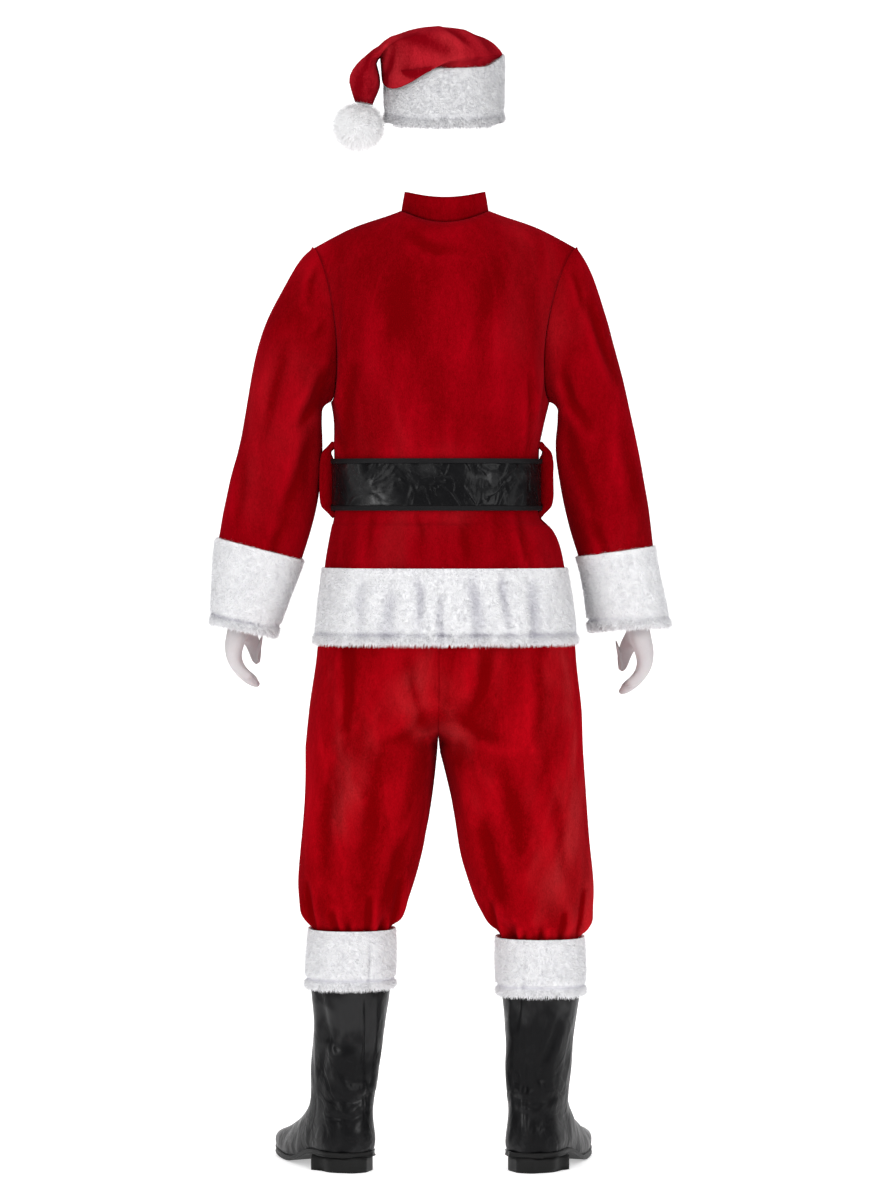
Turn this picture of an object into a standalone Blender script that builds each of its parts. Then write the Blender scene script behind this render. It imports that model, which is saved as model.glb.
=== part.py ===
"""A worn Santa suit: hat, jacket with belt, trousers, gloves and boot covers over shoes.

Metres, +Z up. The wearer faces -Y and the wearer's left is +X. Nobody is inside: every piece is a
wall of cloth that keeps the form it has when worn, and it is open at the neck, hems and cuffs.
Heights in the tables are above the ground under the shoes. The origin is at the neck, where the
wearer's shoulders hold the suit up.
"""
import math
from collections import namedtuple

import bmesh
import bpy
from mathutils import Matrix, Vector

# Driving dimensions
HOLD_HEIGHT = 1.560      # neck point above the ground
CLOTH = 0.0022           # red plush wall
PILE = 0.0050            # white long-pile plush wall
VINYL = 0.0016           # coated fabric wall
KNIT = 0.0012            # glove wall
CLEAR = 0.0003           # space between a piece and what it lies on
SEAM = 0.0003            # an edge stands back this far from its seam line
SHOULDER_SEAM = 0.0013   # on the ridge of the shoulder the cloth's inner faces come closer
SIDE_SEAM = 0.0007       # and a little closer under the arm
ROUND = 0.87             # exponent of the rounded-square cross-sections
QUARTER = 90.0
HALF = 180.0
FULL = 360.0

# Jacket body: half width, depth to the front and back, and the middle's place across
Section = namedtuple("Section", "height width front back middle")
BODY = [
    Section(0.878, 0.2142, 0.172, 0.162, -0.0010),
    Section(0.925, 0.2090, 0.168, 0.157, -0.0010),
    Section(0.970, 0.2030, 0.163, 0.151, 0.0000),
    Section(1.023, 0.1950, 0.153, 0.143, 0.0015),
    Section(1.060, 0.1840, 0.142, 0.135, 0.0050),
    Section(1.083, 0.1705, 0.130, 0.123, 0.0140),
    Section(1.087, 0.1705, 0.130, 0.123, 0.0140),
    Section(1.183, 0.1705, 0.130, 0.123, 0.0140),
    Section(1.187, 0.1705, 0.130, 0.123, 0.0140),
    Section(1.208, 0.1720, 0.136, 0.131, 0.0130),
    Section(1.234, 0.1745, 0.141, 0.137, 0.0100),
    Section(1.272, 0.1820, 0.145, 0.141, 0.0080),
]
ARMPIT_HEIGHT = 1.272
NECK_SHARE = 0.40        # share of a panel's half that ends at the neck
NECK = Section(1.590, 0.074, 0.070, 0.066, 0.0000)
NECK_DIP_FRONT = 0.062
NECK_DIP_BACK = 0.022
SHOULDER_HEIGHT = 1.520
SHOULDER_LEFT = 0.219
SHOULDER_RIGHT = -0.218
SHOULDER_CROWN = 0.003   # rise of the shoulder seam between its ends
YOKE_ROUND = 0.74
ARMHOLE_DEPTH = 0.056
ARMHOLE_ROUND = 0.50
ARMHOLE_INSET = 0.016
ARMHOLE_FADE = 3         # exponent by which the armhole's form dies out towards the middle

# Folds: a place round the piece, its half width in degrees, its heights, its depth and its lean
Fold = namedtuple("Fold", "angle spread low high depth lean")
BODY_FOLDS = [
    Fold(64, 5, 1.19, 1.36, 0.0065, 20),
    Fold(78, 5, 1.19, 1.34, -0.0050, 10),
    Fold(-58, 5, 1.19, 1.33, 0.0070, -15),
    Fold(-73, 5, 1.20, 1.34, -0.0055, 10),
    Fold(-48, 6, 0.94, 1.09, 0.0075, 260),
    Fold(-32, 6, 0.93, 1.08, -0.0050, 200),
    Fold(46, 7, 0.93, 1.08, 0.0055, -140),
    Fold(8, 7, 0.93, 1.08, 0.0035, 60),
    Fold(112, 6, 1.19, 1.36, 0.0065, -20),
    Fold(-114, 6, 1.19, 1.35, 0.0060, 25),
    Fold(132, 7, 0.93, 1.08, 0.0060, 120),
    Fold(-136, 7, 0.93, 1.08, 0.0060, -120),
]

HEM_TOP = 0.9966
HEM_BOTTOM = 0.8780

# Sleeves: the underarm and outer ends of each ring, its half depth and its place fore and aft
Ring = namedtuple("Ring", "reach inner_x inner_height outer_x outer_height depth forward")
SLEEVE_LEFT = [
    Ring(0.00, 0.190, 1.272, 0.219, 1.520, 0.070, 0.000),
    Ring(0.12, 0.201, 1.266, 0.262, 1.472, 0.076, 0.000),
    Ring(0.25, 0.203, 1.256, 0.298, 1.396, 0.077, 0.001),
    Ring(0.40, 0.204, 1.238, 0.321, 1.316, 0.074, 0.003),
    Ring(0.55, 0.204, 1.190, 0.338, 1.222, 0.072, 0.008),
    Ring(0.70, 0.210, 1.118, 0.354, 1.150, 0.073, 0.016),
    Ring(0.85, 0.227, 1.046, 0.371, 1.080, 0.073, 0.027),
    Ring(1.00, 0.249, 0.984, 0.382, 1.020, 0.071, 0.038),
    Ring(1.50, 0.287, 0.884, 0.388, 0.906, 0.064, 0.058),
]
SLEEVE_RIGHT = [
    Ring(0.00, -0.174, 1.272, -0.218, 1.520, 0.070, 0.000),
    Ring(0.12, -0.187, 1.266, -0.247, 1.474, 0.076, 0.000),
    Ring(0.25, -0.188, 1.255, -0.272, 1.396, 0.076, 0.001),
    Ring(0.40, -0.187, 1.236, -0.294, 1.316, 0.072, 0.003),
    Ring(0.55, -0.184, 1.190, -0.313, 1.226, 0.070, 0.008),
    Ring(0.70, -0.193, 1.118, -0.331, 1.142, 0.071, 0.016),
    Ring(0.85, -0.211, 1.048, -0.344, 1.066, 0.071, 0.027),
    Ring(1.00, -0.230, 0.990, -0.350, 1.008, 0.070, 0.038),
    Ring(1.50, -0.245, 0.894, -0.373, 0.902, 0.066, 0.058),
]
ARMHOLE_BLEND = 0.22     # reach over which the armhole's loop becomes a round ring
ARMHOLE_STEPS = 9        # rows of the yoke, and half the columns of a sleeve
ARMHOLE_GAP = 0.00075    # a sleeve's edge stands this far outside its armhole
SLEEVE_FOLDS_LEFT = [
    Fold(62, 15, 0.05, 0.42, 0.0070, 90),
    Fold(112, 14, 0.02, 0.36, -0.0050, 60),
    Fold(35, 14, 0.40, 0.78, -0.0065, 40),
    Fold(300, 16, 0.08, 0.50, 0.0060, -60),
    Fold(145, 16, 0.50, 0.95, 0.0045, -50),
]
SLEEVE_FOLDS_RIGHT = [
    Fold(84, 13, 0.04, 0.46, 0.0075, 110),
    Fold(120, 14, 0.04, 0.40, -0.0055, 80),
    Fold(40, 14, 0.42, 0.80, -0.0050, 40),
    Fold(292, 16, 0.08, 0.50, 0.0060, -60),
    Fold(135, 16, 0.52, 0.95, 0.0045, -60),
]

# Belt and what is on it
BELT_LOW = 1.0925
BELT_HIGH = 1.1775
BINDING = 0.0075
PLACKET_HALF = 0.032
LOOP_WIDTH = 0.030
LOOP_THICK = 0.0075
LOOP_HIGH = 1.204
LOOP_LOW = 1.083
LOOP_STAND = 0.0125      # how far the loop stands out from the jacket's side
LOOP_SQUARE = 4          # exponent of the loop's squarish bow
BUCKLE_WIDTH = 0.088
BUCKLE_BAR = 0.012
BUCKLE_THICK = 0.0045

# Trousers: inner and outer place across, depth to the front and back, for each height
Leg = namedtuple("Leg", "height inner outer front back")
LEG_LEFT = [
    Leg(0.366, 0.0925, 0.2170, 0.062, 0.063),
    Leg(0.388, 0.0925, 0.2170, 0.062, 0.063),
    Leg(0.402, 0.0880, 0.2215, 0.067, 0.069),
    Leg(0.420, 0.0720, 0.2370, 0.082, 0.084),
    Leg(0.446, 0.0600, 0.2430, 0.090, 0.093),
    Leg(0.480, 0.0500, 0.2440, 0.094, 0.098),
    Leg(0.548, 0.0330, 0.2390, 0.100, 0.103),
    Leg(0.620, 0.0210, 0.2330, 0.112, 0.114),
    Leg(0.690, 0.0130, 0.2320, 0.124, 0.130),
    Leg(0.785, 0.0108, 0.2230, 0.138, 0.150),
    Leg(0.865, 0.0108, 0.2110, 0.148, 0.150),
    Leg(0.930, 0.0108, 0.2030, 0.150, 0.144),
    Leg(0.990, 0.0108, 0.1920, 0.142, 0.132),
    Leg(1.072, 0.0108, 0.1720, 0.118, 0.110),
]
LEG_RIGHT = [
    Leg(0.353, -0.0950, -0.2200, 0.062, 0.063),
    Leg(0.375, -0.0950, -0.2200, 0.062, 0.063),
    Leg(0.389, -0.0905, -0.2245, 0.067, 0.069),
    Leg(0.407, -0.0750, -0.2390, 0.082, 0.084),
    Leg(0.432, -0.0560, -0.2450, 0.090, 0.093),
    Leg(0.475, -0.0400, -0.2470, 0.095, 0.099),
    Leg(0.548, -0.0210, -0.2400, 0.100, 0.103),
    Leg(0.620, -0.0090, -0.2350, 0.112, 0.114),
    Leg(0.690, 0.0080, -0.2300, 0.124, 0.130),
    Leg(0.785, 0.0102, -0.2230, 0.138, 0.150),
    Leg(0.865, 0.0102, -0.2140, 0.148, 0.150),
    Leg(0.930, 0.0102, -0.2050, 0.150, 0.144),
    Leg(0.990, 0.0102, -0.1920, 0.142, 0.132),
    Leg(1.072, 0.0102, -0.1500, 0.118, 0.110),
]
CROTCH_HEIGHT = 0.706
CROTCH_CURVE = 0.085     # height over which the seat seam turns under the body
SEAT_CURVE = 0.190       # height over which the legs' roundness becomes the seat's
SEAM_NEARNESS = 5
GATHERS = 8
GATHER_DEPTH = 0.0062
GATHER_TOP = 0.110       # gathers die out this far above the trouser hem
GATHER_FADE = 0.35       # they start to die out at this share of that height
GATHER_LEAST = 0.22      # share of their depth that they have at the hem
GATHER_SPAN = (0.030, 0.055)
GATHER_UNEVEN = 0.3
SEAT_SEAM_POWER = 0.5    # exponent by which the seat seam leaves the crotch
LEG_FOLDS_LEFT = [
    Fold(238, 9, 0.52, 0.84, -0.0060, 10),
    Fold(262, 12, 0.56, 0.80, 0.0045, -20),
    Fold(300, 14, 0.48, 0.70, 0.0060, 120),
    Fold(215, 13, 0.45, 0.66, 0.0050, -90),
    Fold(95, 14, 0.46, 0.72, 0.0060, 100),
    Fold(150, 14, 0.50, 0.80, 0.0050, -60),
]
LEG_FOLDS_RIGHT = [
    Fold(318, 13, 0.46, 0.70, 0.0065, -100),
    Fold(262, 13, 0.54, 0.82, 0.0045, 40),
    Fold(232, 13, 0.46, 0.66, 0.0055, 80),
    Fold(85, 14, 0.46, 0.72, 0.0060, -100),
    Fold(140, 14, 0.50, 0.80, 0.0050, 60),
]

# Boot tops, covers and shoes; the foot tables run in the foot's own frame, toe along +forward
Band = namedtuple("Band", "height middle width depth")
BOOT_TOP_LEFT = [
    Band(0.3065, 0.1575, 0.0755, 0.080),
    Band(0.3988, 0.1545, 0.0735, 0.078),
]
BOOT_TOP_RIGHT = [
    Band(0.2950, -0.1595, 0.0745, 0.080),
    Band(0.3850, -0.1575, 0.0755, 0.078),
]
Slice = namedtuple("Slice", "height toe heel width")
BOOT = [
    Slice(0.034, 0.222, 0.060, 0.0470),
    Slice(0.046, 0.225, 0.064, 0.0485),
    Slice(0.060, 0.212, 0.065, 0.0475),
    Slice(0.074, 0.172, 0.063, 0.0460),
    Slice(0.090, 0.118, 0.059, 0.0450),
    Slice(0.108, 0.076, 0.056, 0.0455),
    Slice(0.135, 0.060, 0.054, 0.0480),
    Slice(0.185, 0.057, 0.057, 0.0530),
    Slice(0.250, 0.063, 0.063, 0.0600),
    Slice(0.335, 0.0746, 0.0746, 0.0703),
]
BOOT_FOLDS = [
    Fold(205, 14, 0.11, 0.27, -0.0040, 160),
    Fold(150, 13, 0.10, 0.24, 0.0040, -150),
    Fold(250, 13, 0.14, 0.30, 0.0035, 100),
    Fold(60, 14, 0.12, 0.28, -0.0035, 120),
    Fold(320, 14, 0.10, 0.24, 0.0035, -120),
]
Foot = namedtuple("Foot", "ankle lean turnout side")
FOOT_LEFT = Foot(0.1700, -0.0134, 28.0, 1)
FOOT_RIGHT = Foot(-0.1530, -0.0056, 21.0, -1)
SOLE_TOP = 0.0335
SOLE_THICK = 0.0080
SOLE_LIP = 0.004
HEEL_LIFT = 0.0240       # the ball of the foot is this much lower than the heel seat
TOE_SPRING = 0.006

# Hat
BAND_MIDDLE = 0.0016
BAND_WIDTH = 0.0995
BAND_DEPTH = 0.118
BAND_HEIGHT = 0.094
BAND_CENTRE = 1.741      # height of the band's lower edge at its sides
BAND_SLOPE = 0.17        # fall of the band towards the back
CROWN = [
    Ring(0.00, 0.0954, 1.824, -0.0922, 1.824, 0.1126, 0.000),
    Ring(0.05, 0.0935, 1.843, -0.0910, 1.843, 0.1100, 0.000),
    Ring(0.10, 0.0940, 1.848, -0.0935, 1.852, 0.1130, 0.000),
    Ring(0.22, 0.0940, 1.852, -0.0640, 1.877, 0.106, -0.004),
    Ring(0.36, 0.0990, 1.853, -0.0100, 1.891, 0.094, -0.010),
    Ring(0.50, 0.1075, 1.849, 0.0500, 1.888, 0.080, -0.018),
    Ring(0.62, 0.1130, 1.842, 0.0960, 1.868, 0.070, -0.026),
    Ring(0.74, 0.1140, 1.826, 0.1340, 1.840, 0.059, -0.032),
    Ring(0.87, 0.1120, 1.800, 0.1520, 1.806, 0.044, -0.035),
    Ring(1.00, 0.1244, 1.7632, 0.1438, 1.7680, 0.010, -0.036),
]
POMPOM_RADIUS = 0.040
POMPOM_CENTRE = Vector((0.1435, 0.036, 1.7275))

# Gloves: a palm that faces the leg, four bent fingers and a thumb
HAND_LEFT = Vector((0.357, -0.064, 0.852))      # middle of the knuckles
HAND_RIGHT = Vector((-0.338, -0.064, 0.840))
HAND_TILT = 15.0
Slab = namedtuple("Slab", "rise width thick")
HAND = [
    Slab(0.030, 0.088, 0.033),
    Slab(0.062, 0.086, 0.036),
    Slab(0.088, 0.068, 0.038),
    Slab(0.122, 0.064, 0.044),
]
KNUCKLE_WIDTH = 0.082
KNUCKLE_THICK = 0.027
FINGER_COUNT = 4
FINGER_LENGTHS = [0.056, 0.070, 0.076, 0.068]    # little finger first
FINGER_SHARES = [0.50, 0.50]
FINGER_BENDS = [38.0, 36.0]
FINGER_TAPER = 0.84
Step = namedtuple("Step", "across fore down scale")
THUMB = [
    Step(-0.027, -0.014, -0.014, 0.78),
    Step(-0.018, -0.004, -0.042, 0.66),
]

# How finely each piece is divided, and small sizes of its build
BODY_COLUMNS = 8         # columns from a centre line to a side seam
BODY_ROWS = [0.985, HEM_TOP, 1.020, 1.048, 1.070, 1.0875, 1.135, 1.1825, 1.206, 1.240, ARMPIT_HEIGHT]
HEM_ROWS = [HEM_BOTTOM, 0.930, 0.985, HEM_TOP]
SLEEVE_ROWS = [0.0, 0.06, 0.13, 0.21, 0.30, 0.41, 0.53, 0.66, 0.80, 0.93, 1.0]
CUFF_ROWS = [0.93, 1.0, 1.25, 1.50]
COLLAR_COLUMNS = 24
COLLAR_HEIGHT = 0.030
COLLAR_LEVEL = 0.45      # the collar's upper edge is this much more level than the neckline
COLLAR_LEAN = 0.07
COLLAR_FIT = 0.980       # the collar stands just inside the straight-sided neckline
COLLAR_OPENING = 2.0     # degrees to each side of the centre front
COLLAR_END = 0.999       # the collar stays this share inside the neckline's quarter
HALVINGS = 24
SEARCH_SHARE = 0.5       # a place across the front is looked for within this share of a panel
NUDGE = 0.003            # step over which a surface's normal is taken
MERGE = 0.0001           # the columns of a closed ring meet within this
BELT_RAMP_START = 9.0    # degrees from the centre front at which the belt starts to come down
BELT_RAMP_END = 30.0
BINDING_THICK = 0.0010
LOOP_ROWS = 8
LOOP_CLEAR = 0.0007      # the jacket's side is not quite flat under the loop's ends
BUCKLE_REACH = 0.006     # how far the buckle's frame stands past the belt's edges
LEG_COLUMNS = 32
HEM_STEPS = [0.0, 0.022, 0.036, 0.056, 0.080]
SEAT_ROWS = [0.480, 0.540, 0.620, 0.690, 0.710, 0.740, 0.790, 0.850, 0.930, 1.072]
TOP_CROWN = 0.02
TOE_TURNS = [0.0, 3.2, 10.0, 22.0, 36.0, 54.0, 72.0, QUARTER]
HEEL_TURNS = [0.0, 18.0, 36.0, 60.0, QUARTER]
SOLE_END = 0.985
HEEL_INSET = 0.003
DROP_SPAN = (0.0185, 0.120)
SPRING_SPAN = (0.150, 0.230)
TWIST_SPAN = (0.130, 0.300)
LEAN_SPAN = (0.080, 0.300)
INSTEP_SPAN = (0.060, 0.140)
HAT_COLUMNS = 22
CROWN_ROWS = [0.0, 0.05, 0.09, 0.13, 0.18, 0.25, 0.35, 0.47, 0.59, 0.72, 0.86, 1.0]
Slump = namedtuple("Slump", "angle spread amount start full fade end")
SLUMP_OUT = Slump(48.0, 75.0, 0.0160, 0.05, 0.09, 0.30, 0.55)
SLUMP_DOWN = Slump(48.0, 38.0, 0.0360, 0.085, 0.135, 0.135, 0.310)
CROWN_SLOPE_END = 0.35
BAND_BULGE = 0.0015
CROWN_FOLDS = [
    Fold(40, 22, 0.20, 0.75, 0.0070, 60),
    Fold(-20, 20, 0.25, 0.70, -0.0060, 80),
    Fold(140, 22, 0.25, 0.80, 0.0060, -60),
    Fold(-120, 24, 0.15, 0.60, 0.0050, 40),
]

# Finish of each material: colour, roughness, metallic
Finish = namedtuple("Finish", "colour roughness metallic")
RED = Finish((0.30, 0.004, 0.008, 1.0), 0.85, 0.0)
WHITE = Finish((0.82, 0.82, 0.82, 1.0), 0.95, 0.0)
BLACK = Finish((0.012, 0.012, 0.013, 1.0), 0.35, 0.0)
BINDING_BLACK = Finish((0.010, 0.010, 0.011, 1.0), 0.80, 0.0)
SOLE_BLACK = Finish((0.010, 0.010, 0.010, 1.0), 0.60, 0.0)
GLOVE_WHITE = Finish((0.78, 0.77, 0.78, 1.0), 0.90, 0.0)
BRASS = Finish((0.72, 0.50, 0.16, 1.0), 0.30, 1.0)


def along(table, position):
    """The table's row at any place in its first column, on a smooth curve through its rows."""
    rows = sorted(table)
    position = min(max(position, rows[0][0]), rows[-1][0])
    low = 0
    while low < len(rows) - 2 and rows[low + 1][0] <= position:
        low += 1
    high = low + 1
    span = rows[high][0] - rows[low][0]
    t = (position - rows[low][0]) / span

    def slope(i, column):
        before = rows[max(i - 1, 0)]
        after = rows[min(i + 1, len(rows) - 1)]
        return (after[column] - before[column]) / (after[0] - before[0]) * span

    def value(column):
        start = rows[low][column]
        end = rows[high][column]
        lift = slope(low, column) * t * (1 - t) ** 2 - slope(high, column) * t * t * (1 - t)
        return start + (end - start) * t * t * (3 - 2 * t) + lift

    values = [value(column) for column in range(1, len(rows[0]))]
    return type(rows[0])(position, *values)


def power(value, exponent):
    """A power that keeps its sign, for rounded-square outlines."""
    return math.copysign(abs(value) ** exponent, value)


def smooth(low, high, value):
    """0 below low, 1 above high and a soft step between."""
    t = min(max((value - low) / (high - low), 0.0), 1.0)
    return t * t * (3 - 2 * t)


def mix(first, second, share):
    return first * (1 - share) + second * share


def fold_depth(folds, angle, height):
    """How far the cloth stands out at a place, from the table of folds."""
    total = 0.0
    for fold in folds:
        middle = (fold.low + fold.high) / 2
        place = fold.angle + fold.lean * (height - middle)
        turn = (angle - place + HALF) % FULL - HALF
        reach = (height - middle) / (fold.high - fold.low) * 2
        if abs(reach) < 1:
            ends = math.cos(math.radians(QUARTER * reach)) ** 2
            total += fold.depth * ends * math.exp(-(turn / fold.spread) ** 2)
    return total


def clear_collection(name):
    """An empty scene, and a collection for the suit."""
    for item in list(bpy.data.objects):
        bpy.data.objects.remove(item, do_unlink=True)
    collection = bpy.data.collections.new(name)
    bpy.context.scene.collection.children.link(collection)
    return collection


def material(name, finish):
    """A plain Principled material."""
    item = bpy.data.materials.new(name)
    item.use_nodes = True
    shader = item.node_tree.nodes["Principled BSDF"]
    shader.inputs["Base Color"].default_value = finish.colour
    shader.inputs["Roughness"].default_value = finish.roughness
    shader.inputs["Metallic"].default_value = finish.metallic
    return item


def add_object(name, mesh_data, finish):
    """Put a bmesh in the scene as a named sub-part with its own material."""
    mesh = bpy.data.meshes.new(name)
    mesh_data.to_mesh(mesh)
    mesh_data.free()
    mesh.shade_smooth()
    mesh.materials.append(material(name, finish))
    item = bpy.data.objects.new(name, mesh)
    SUIT.objects.link(item)
    return item


def wall(item, thickness, even=True):
    """Give a surface its thickness, towards the inside; a creased one goes without the even offset."""
    shell = item.modifiers.new("Wall", "SOLIDIFY")
    shell.thickness = thickness
    shell.offset = -1.0
    shell.use_even_offset = even
    return item


def sheet(name, place, columns, rows, thickness, finish, ring=False, seams=(0, 0, 0, 0), even=True):
    """A piece of cloth: place(across, up) gives its outer face, both from 0 to 1.

    seams gives how far the left, right, lower and upper edges stand back from their seam lines.
    """
    across = columns if isinstance(columns, list) else [i / columns for i in range(columns + 1)]
    up = rows if isinstance(rows, list) else [j / rows for j in range(rows + 1)]
    width = len(across)
    mesh_data = bmesh.new()
    bmesh.ops.create_grid(mesh_data, x_segments=width - 1, y_segments=len(up) - 1, size=1.0)
    mesh_data.verts.ensure_lookup_table()
    grid = [[place(u, v) for u in across] for v in up]
    left, right, lower, upper = seams
    for line in grid:
        line[0] = line[0] + (line[1] - line[0]).normalized() * left
        line[-1] = line[-1] + (line[-2] - line[-1]).normalized() * right
    for i in range(width):
        grid[0][i] = grid[0][i] + (grid[1][i] - grid[0][i]).normalized() * lower
        grid[-1][i] = grid[-1][i] + (grid[-2][i] - grid[-1][i]).normalized() * upper
    for j, line in enumerate(grid):
        for i, point in enumerate(line):
            mesh_data.verts[j * width + i].co = point - Vector((0.0, 0.0, HOLD_HEIGHT))
    if ring:
        bmesh.ops.remove_doubles(mesh_data, verts=mesh_data.verts, dist=MERGE)
    return wall(add_object(name, mesh_data, finish), thickness, even)


def ring_point(angle, row_middle, width, front, back, height):
    """Rounded-square outline: angle 0 at the back, 90 at the wearer's left."""
    turn = math.radians(angle)
    depth = back if math.cos(turn) > 0 else front
    across = power(math.sin(turn), ROUND)
    fore = power(math.cos(turn), ROUND)
    return Vector((row_middle + width * across, depth * fore, height))


def ring_out(angle, width, depth):
    """The level direction that points out of such an outline."""
    turn = math.radians(angle)
    across = power(math.sin(turn), ROUND) * depth
    fore = power(math.cos(turn), ROUND) * width
    return Vector((across, fore, 0.0)).normalized()


def body(angle, height, out=0.0):
    """Outer face of the jacket below the armpits, or that face moved out."""
    row = along(BODY, height)
    stand = out + fold_depth(BODY_FOLDS, angle, height)
    point = ring_point(angle, row.middle, row.width, row.front, row.back, height)
    return point + ring_out(angle, row.width, row.back) * stand


def body_angle(side, share):
    """Angle of a place on the back (side 1) or front (side -1); share runs from -1 to 1."""
    if side > 0:
        return QUARTER * share
    return math.copysign(HALF - QUARTER * abs(share), share)


def shoulder_line(side, share):
    """The neckline, and then the shoulder seam out to the sleeve."""
    size = abs(share)
    sign = math.copysign(1.0, share)
    if size < NECK_SHARE:
        turn = math.radians(QUARTER * size / NECK_SHARE)
        depth = NECK.back if side > 0 else NECK.front
        dip = NECK_DIP_BACK if side > 0 else NECK_DIP_FRONT
        height = NECK.height - dip * math.cos(turn) ** 2
        return Vector((sign * NECK.width * math.sin(turn), side * depth * math.cos(turn), height))
    t = (size - NECK_SHARE) / (1 - NECK_SHARE)
    end = SHOULDER_LEFT if share > 0 else SHOULDER_RIGHT
    height = mix(NECK.height, SHOULDER_HEIGHT, t) + SHOULDER_CROWN * math.sin(math.pi * t)
    return Vector((mix(sign * NECK.width, end, t), 0.0, height))


def yoke(side, share, rise):
    """Outer face of the jacket from the armpits (rise 0) up to the shoulder and neck (rise 1)."""
    angle = body_angle(side, share)
    base = body(angle, ARMPIT_HEIGHT)
    top = shoulder_line(side, share)
    turn = math.radians(QUARTER * rise)
    lift = power(math.sin(turn), YOKE_ROUND)
    drop = power(math.cos(turn), YOKE_ROUND)
    edge = abs(share) ** ARMHOLE_FADE
    bow = power(max(math.sin(math.pi * lift), 0.0), ARMHOLE_ROUND) * edge
    x = mix(base.x, top.x, lift * lift) - math.copysign(ARMHOLE_INSET, share) * bow
    y = mix(top.y, base.y, drop) + side * ARMHOLE_DEPTH * bow
    height = mix(base.z, top.z, lift)
    fold = fold_depth(BODY_FOLDS, angle, height) - fold_depth(BODY_FOLDS, angle, base.z) * drop
    return Vector((x, y + side * fold * (1 - edge), height))


def jacket(side, share, level):
    """Outer face of the jacket; a level past the armpit height goes on as the yoke's rise."""
    if level <= ARMPIT_HEIGHT:
        return body(body_angle(side, share), level)
    return yoke(side, share, level - ARMPIT_HEIGHT)


def lifted(place, u, v, out):
    """A point of a surface, moved out along the surface's normal."""
    across = place(u + NUDGE, v) - place(u - NUDGE, v)
    up = place(u, v + NUDGE) - place(u, v - NUDGE)
    return place(u, v) + across.cross(up).normalized() * out


def rise_at(turn):
    """The yoke's rise that a turn round the armhole reaches, 0 under the arm and 180 on top."""
    climb = (1 - math.cos(math.radians(turn))) / 2
    return math.degrees(math.asin(min(climb, 1.0) ** (1 / YOKE_ROUND))) / QUARTER


def armhole(end, turn):
    """The loop where a sleeve is set in: turn 90 at the back and 270 at the front."""
    side = 1 if turn <= HALF else -1
    return yoke(side, end, rise_at(turn))


def arm(table, folds, end, turn, reach, out=0.0):
    """Outer face of a sleeve: reach 0 at the armhole, 1 at the end of the red cloth."""
    row = along(table, reach)
    inner = Vector((row.inner_x, -row.forward, row.inner_height))
    outer = Vector((row.outer_x, -row.forward, row.outer_height))
    middle = (inner + outer) / 2
    angle = math.radians(turn)
    half = (inner - outer) / 2
    stand = out + fold_depth(folds, turn, reach)
    stretch = 1 + stand / half.length
    across = half * power(math.cos(angle), ROUND) * stretch
    fore = Vector((0.0, (row.depth + stand) * power(math.sin(angle), ROUND), 0.0))
    loop = armhole(end, turn % FULL) + Vector((end * ARMHOLE_GAP, 0.0, 0.0))
    return mix(loop, middle + across + fore, smooth(0.0, ARMHOLE_BLEND, reach))


def share_at(level, x):
    """The place across the front that lies at x, found by halving."""
    low = -SEARCH_SHARE
    high = SEARCH_SHARE
    for _ in range(HALVINGS):
        middle = (low + high) / 2
        if jacket(-1, middle, level).x < x:
            low = middle
        else:
            high = middle
    return (low + high) / 2


def yoke_rows():
    """Rows of the jacket from the armpits up, level with the columns of a sleeve."""
    return [ARMPIT_HEIGHT + rise_at(HALF * k / ARMHOLE_STEPS) for k in range(1, ARMHOLE_STEPS + 1)]


def back_columns():
    """Columns of the back from side seam to side seam."""
    return [i / BODY_COLUMNS for i in range(-BODY_COLUMNS, BODY_COLUMNS + 1)]


def front_columns():
    """Columns of the left and right fronts, with one more under the white band."""
    left = [0.0, 0.5 / BODY_COLUMNS] + [i / BODY_COLUMNS for i in range(1, BODY_COLUMNS + 1)]
    return left, [-share for share in reversed(left)]


def front_share(u, level):
    """Share of a column of the front; the first whole column lies at the white band's edge."""
    step = 1 / BODY_COLUMNS
    centre = jacket(-1, 0.0, level).x
    edge = abs(share_at(level, centre + math.copysign(PLACKET_HALF, u)))
    size = abs(u)
    if size < step:
        return math.copysign(edge * size / step, u)
    if size < 2 * step:
        return math.copysign(mix(edge, 2 * step, size / step - 1), u)
    return u


def front_panel(u, level):
    return jacket(-1, front_share(u, level), level)


def make_jacket():
    """Back, two fronts, sleeves and collar in red plush."""
    tucked = (SIDE_SEAM, SIDE_SEAM, 0.0, SHOULDER_SEAM)
    levels = BODY_ROWS + yoke_rows()
    sheet("jacket_back", lambda u, v: jacket(1, -u, v), back_columns(), levels, CLOTH, RED, seams=tucked)
    left, right = front_columns()
    sheet("jacket_front_left", front_panel, left, levels, CLOTH, RED, seams=tucked)
    sheet("jacket_front_right", front_panel, right, levels, CLOTH, RED, seams=tucked)
    for name, table, folds, end in SLEEVES:
        def cloth(u, v):
            return arm(table, folds, end, sleeve_turn(end, u), -v)
        rows = [-reach for reach in reversed(SLEEVE_ROWS)]
        sheet("sleeve_" + name, cloth, 2 * ARMHOLE_STEPS, rows, CLOTH, RED, ring=True)

        def plush(u, v):
            return arm(table, folds, end, sleeve_turn(end, u), -v, PILE + 2 * CLEAR)
        rows = [-reach for reach in reversed(CUFF_ROWS)]
        sheet("cuff_" + name, plush, 2 * ARMHOLE_STEPS, rows, PILE, WHITE, ring=True)
    sheet("collar", collar, COLLAR_COLUMNS, 2, CLOTH, RED)


def sleeve_turn(end, u):
    """Columns of a sleeve run to the right when it is seen from outside."""
    return FULL * (1 - u) if end > 0 else FULL * u


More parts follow.
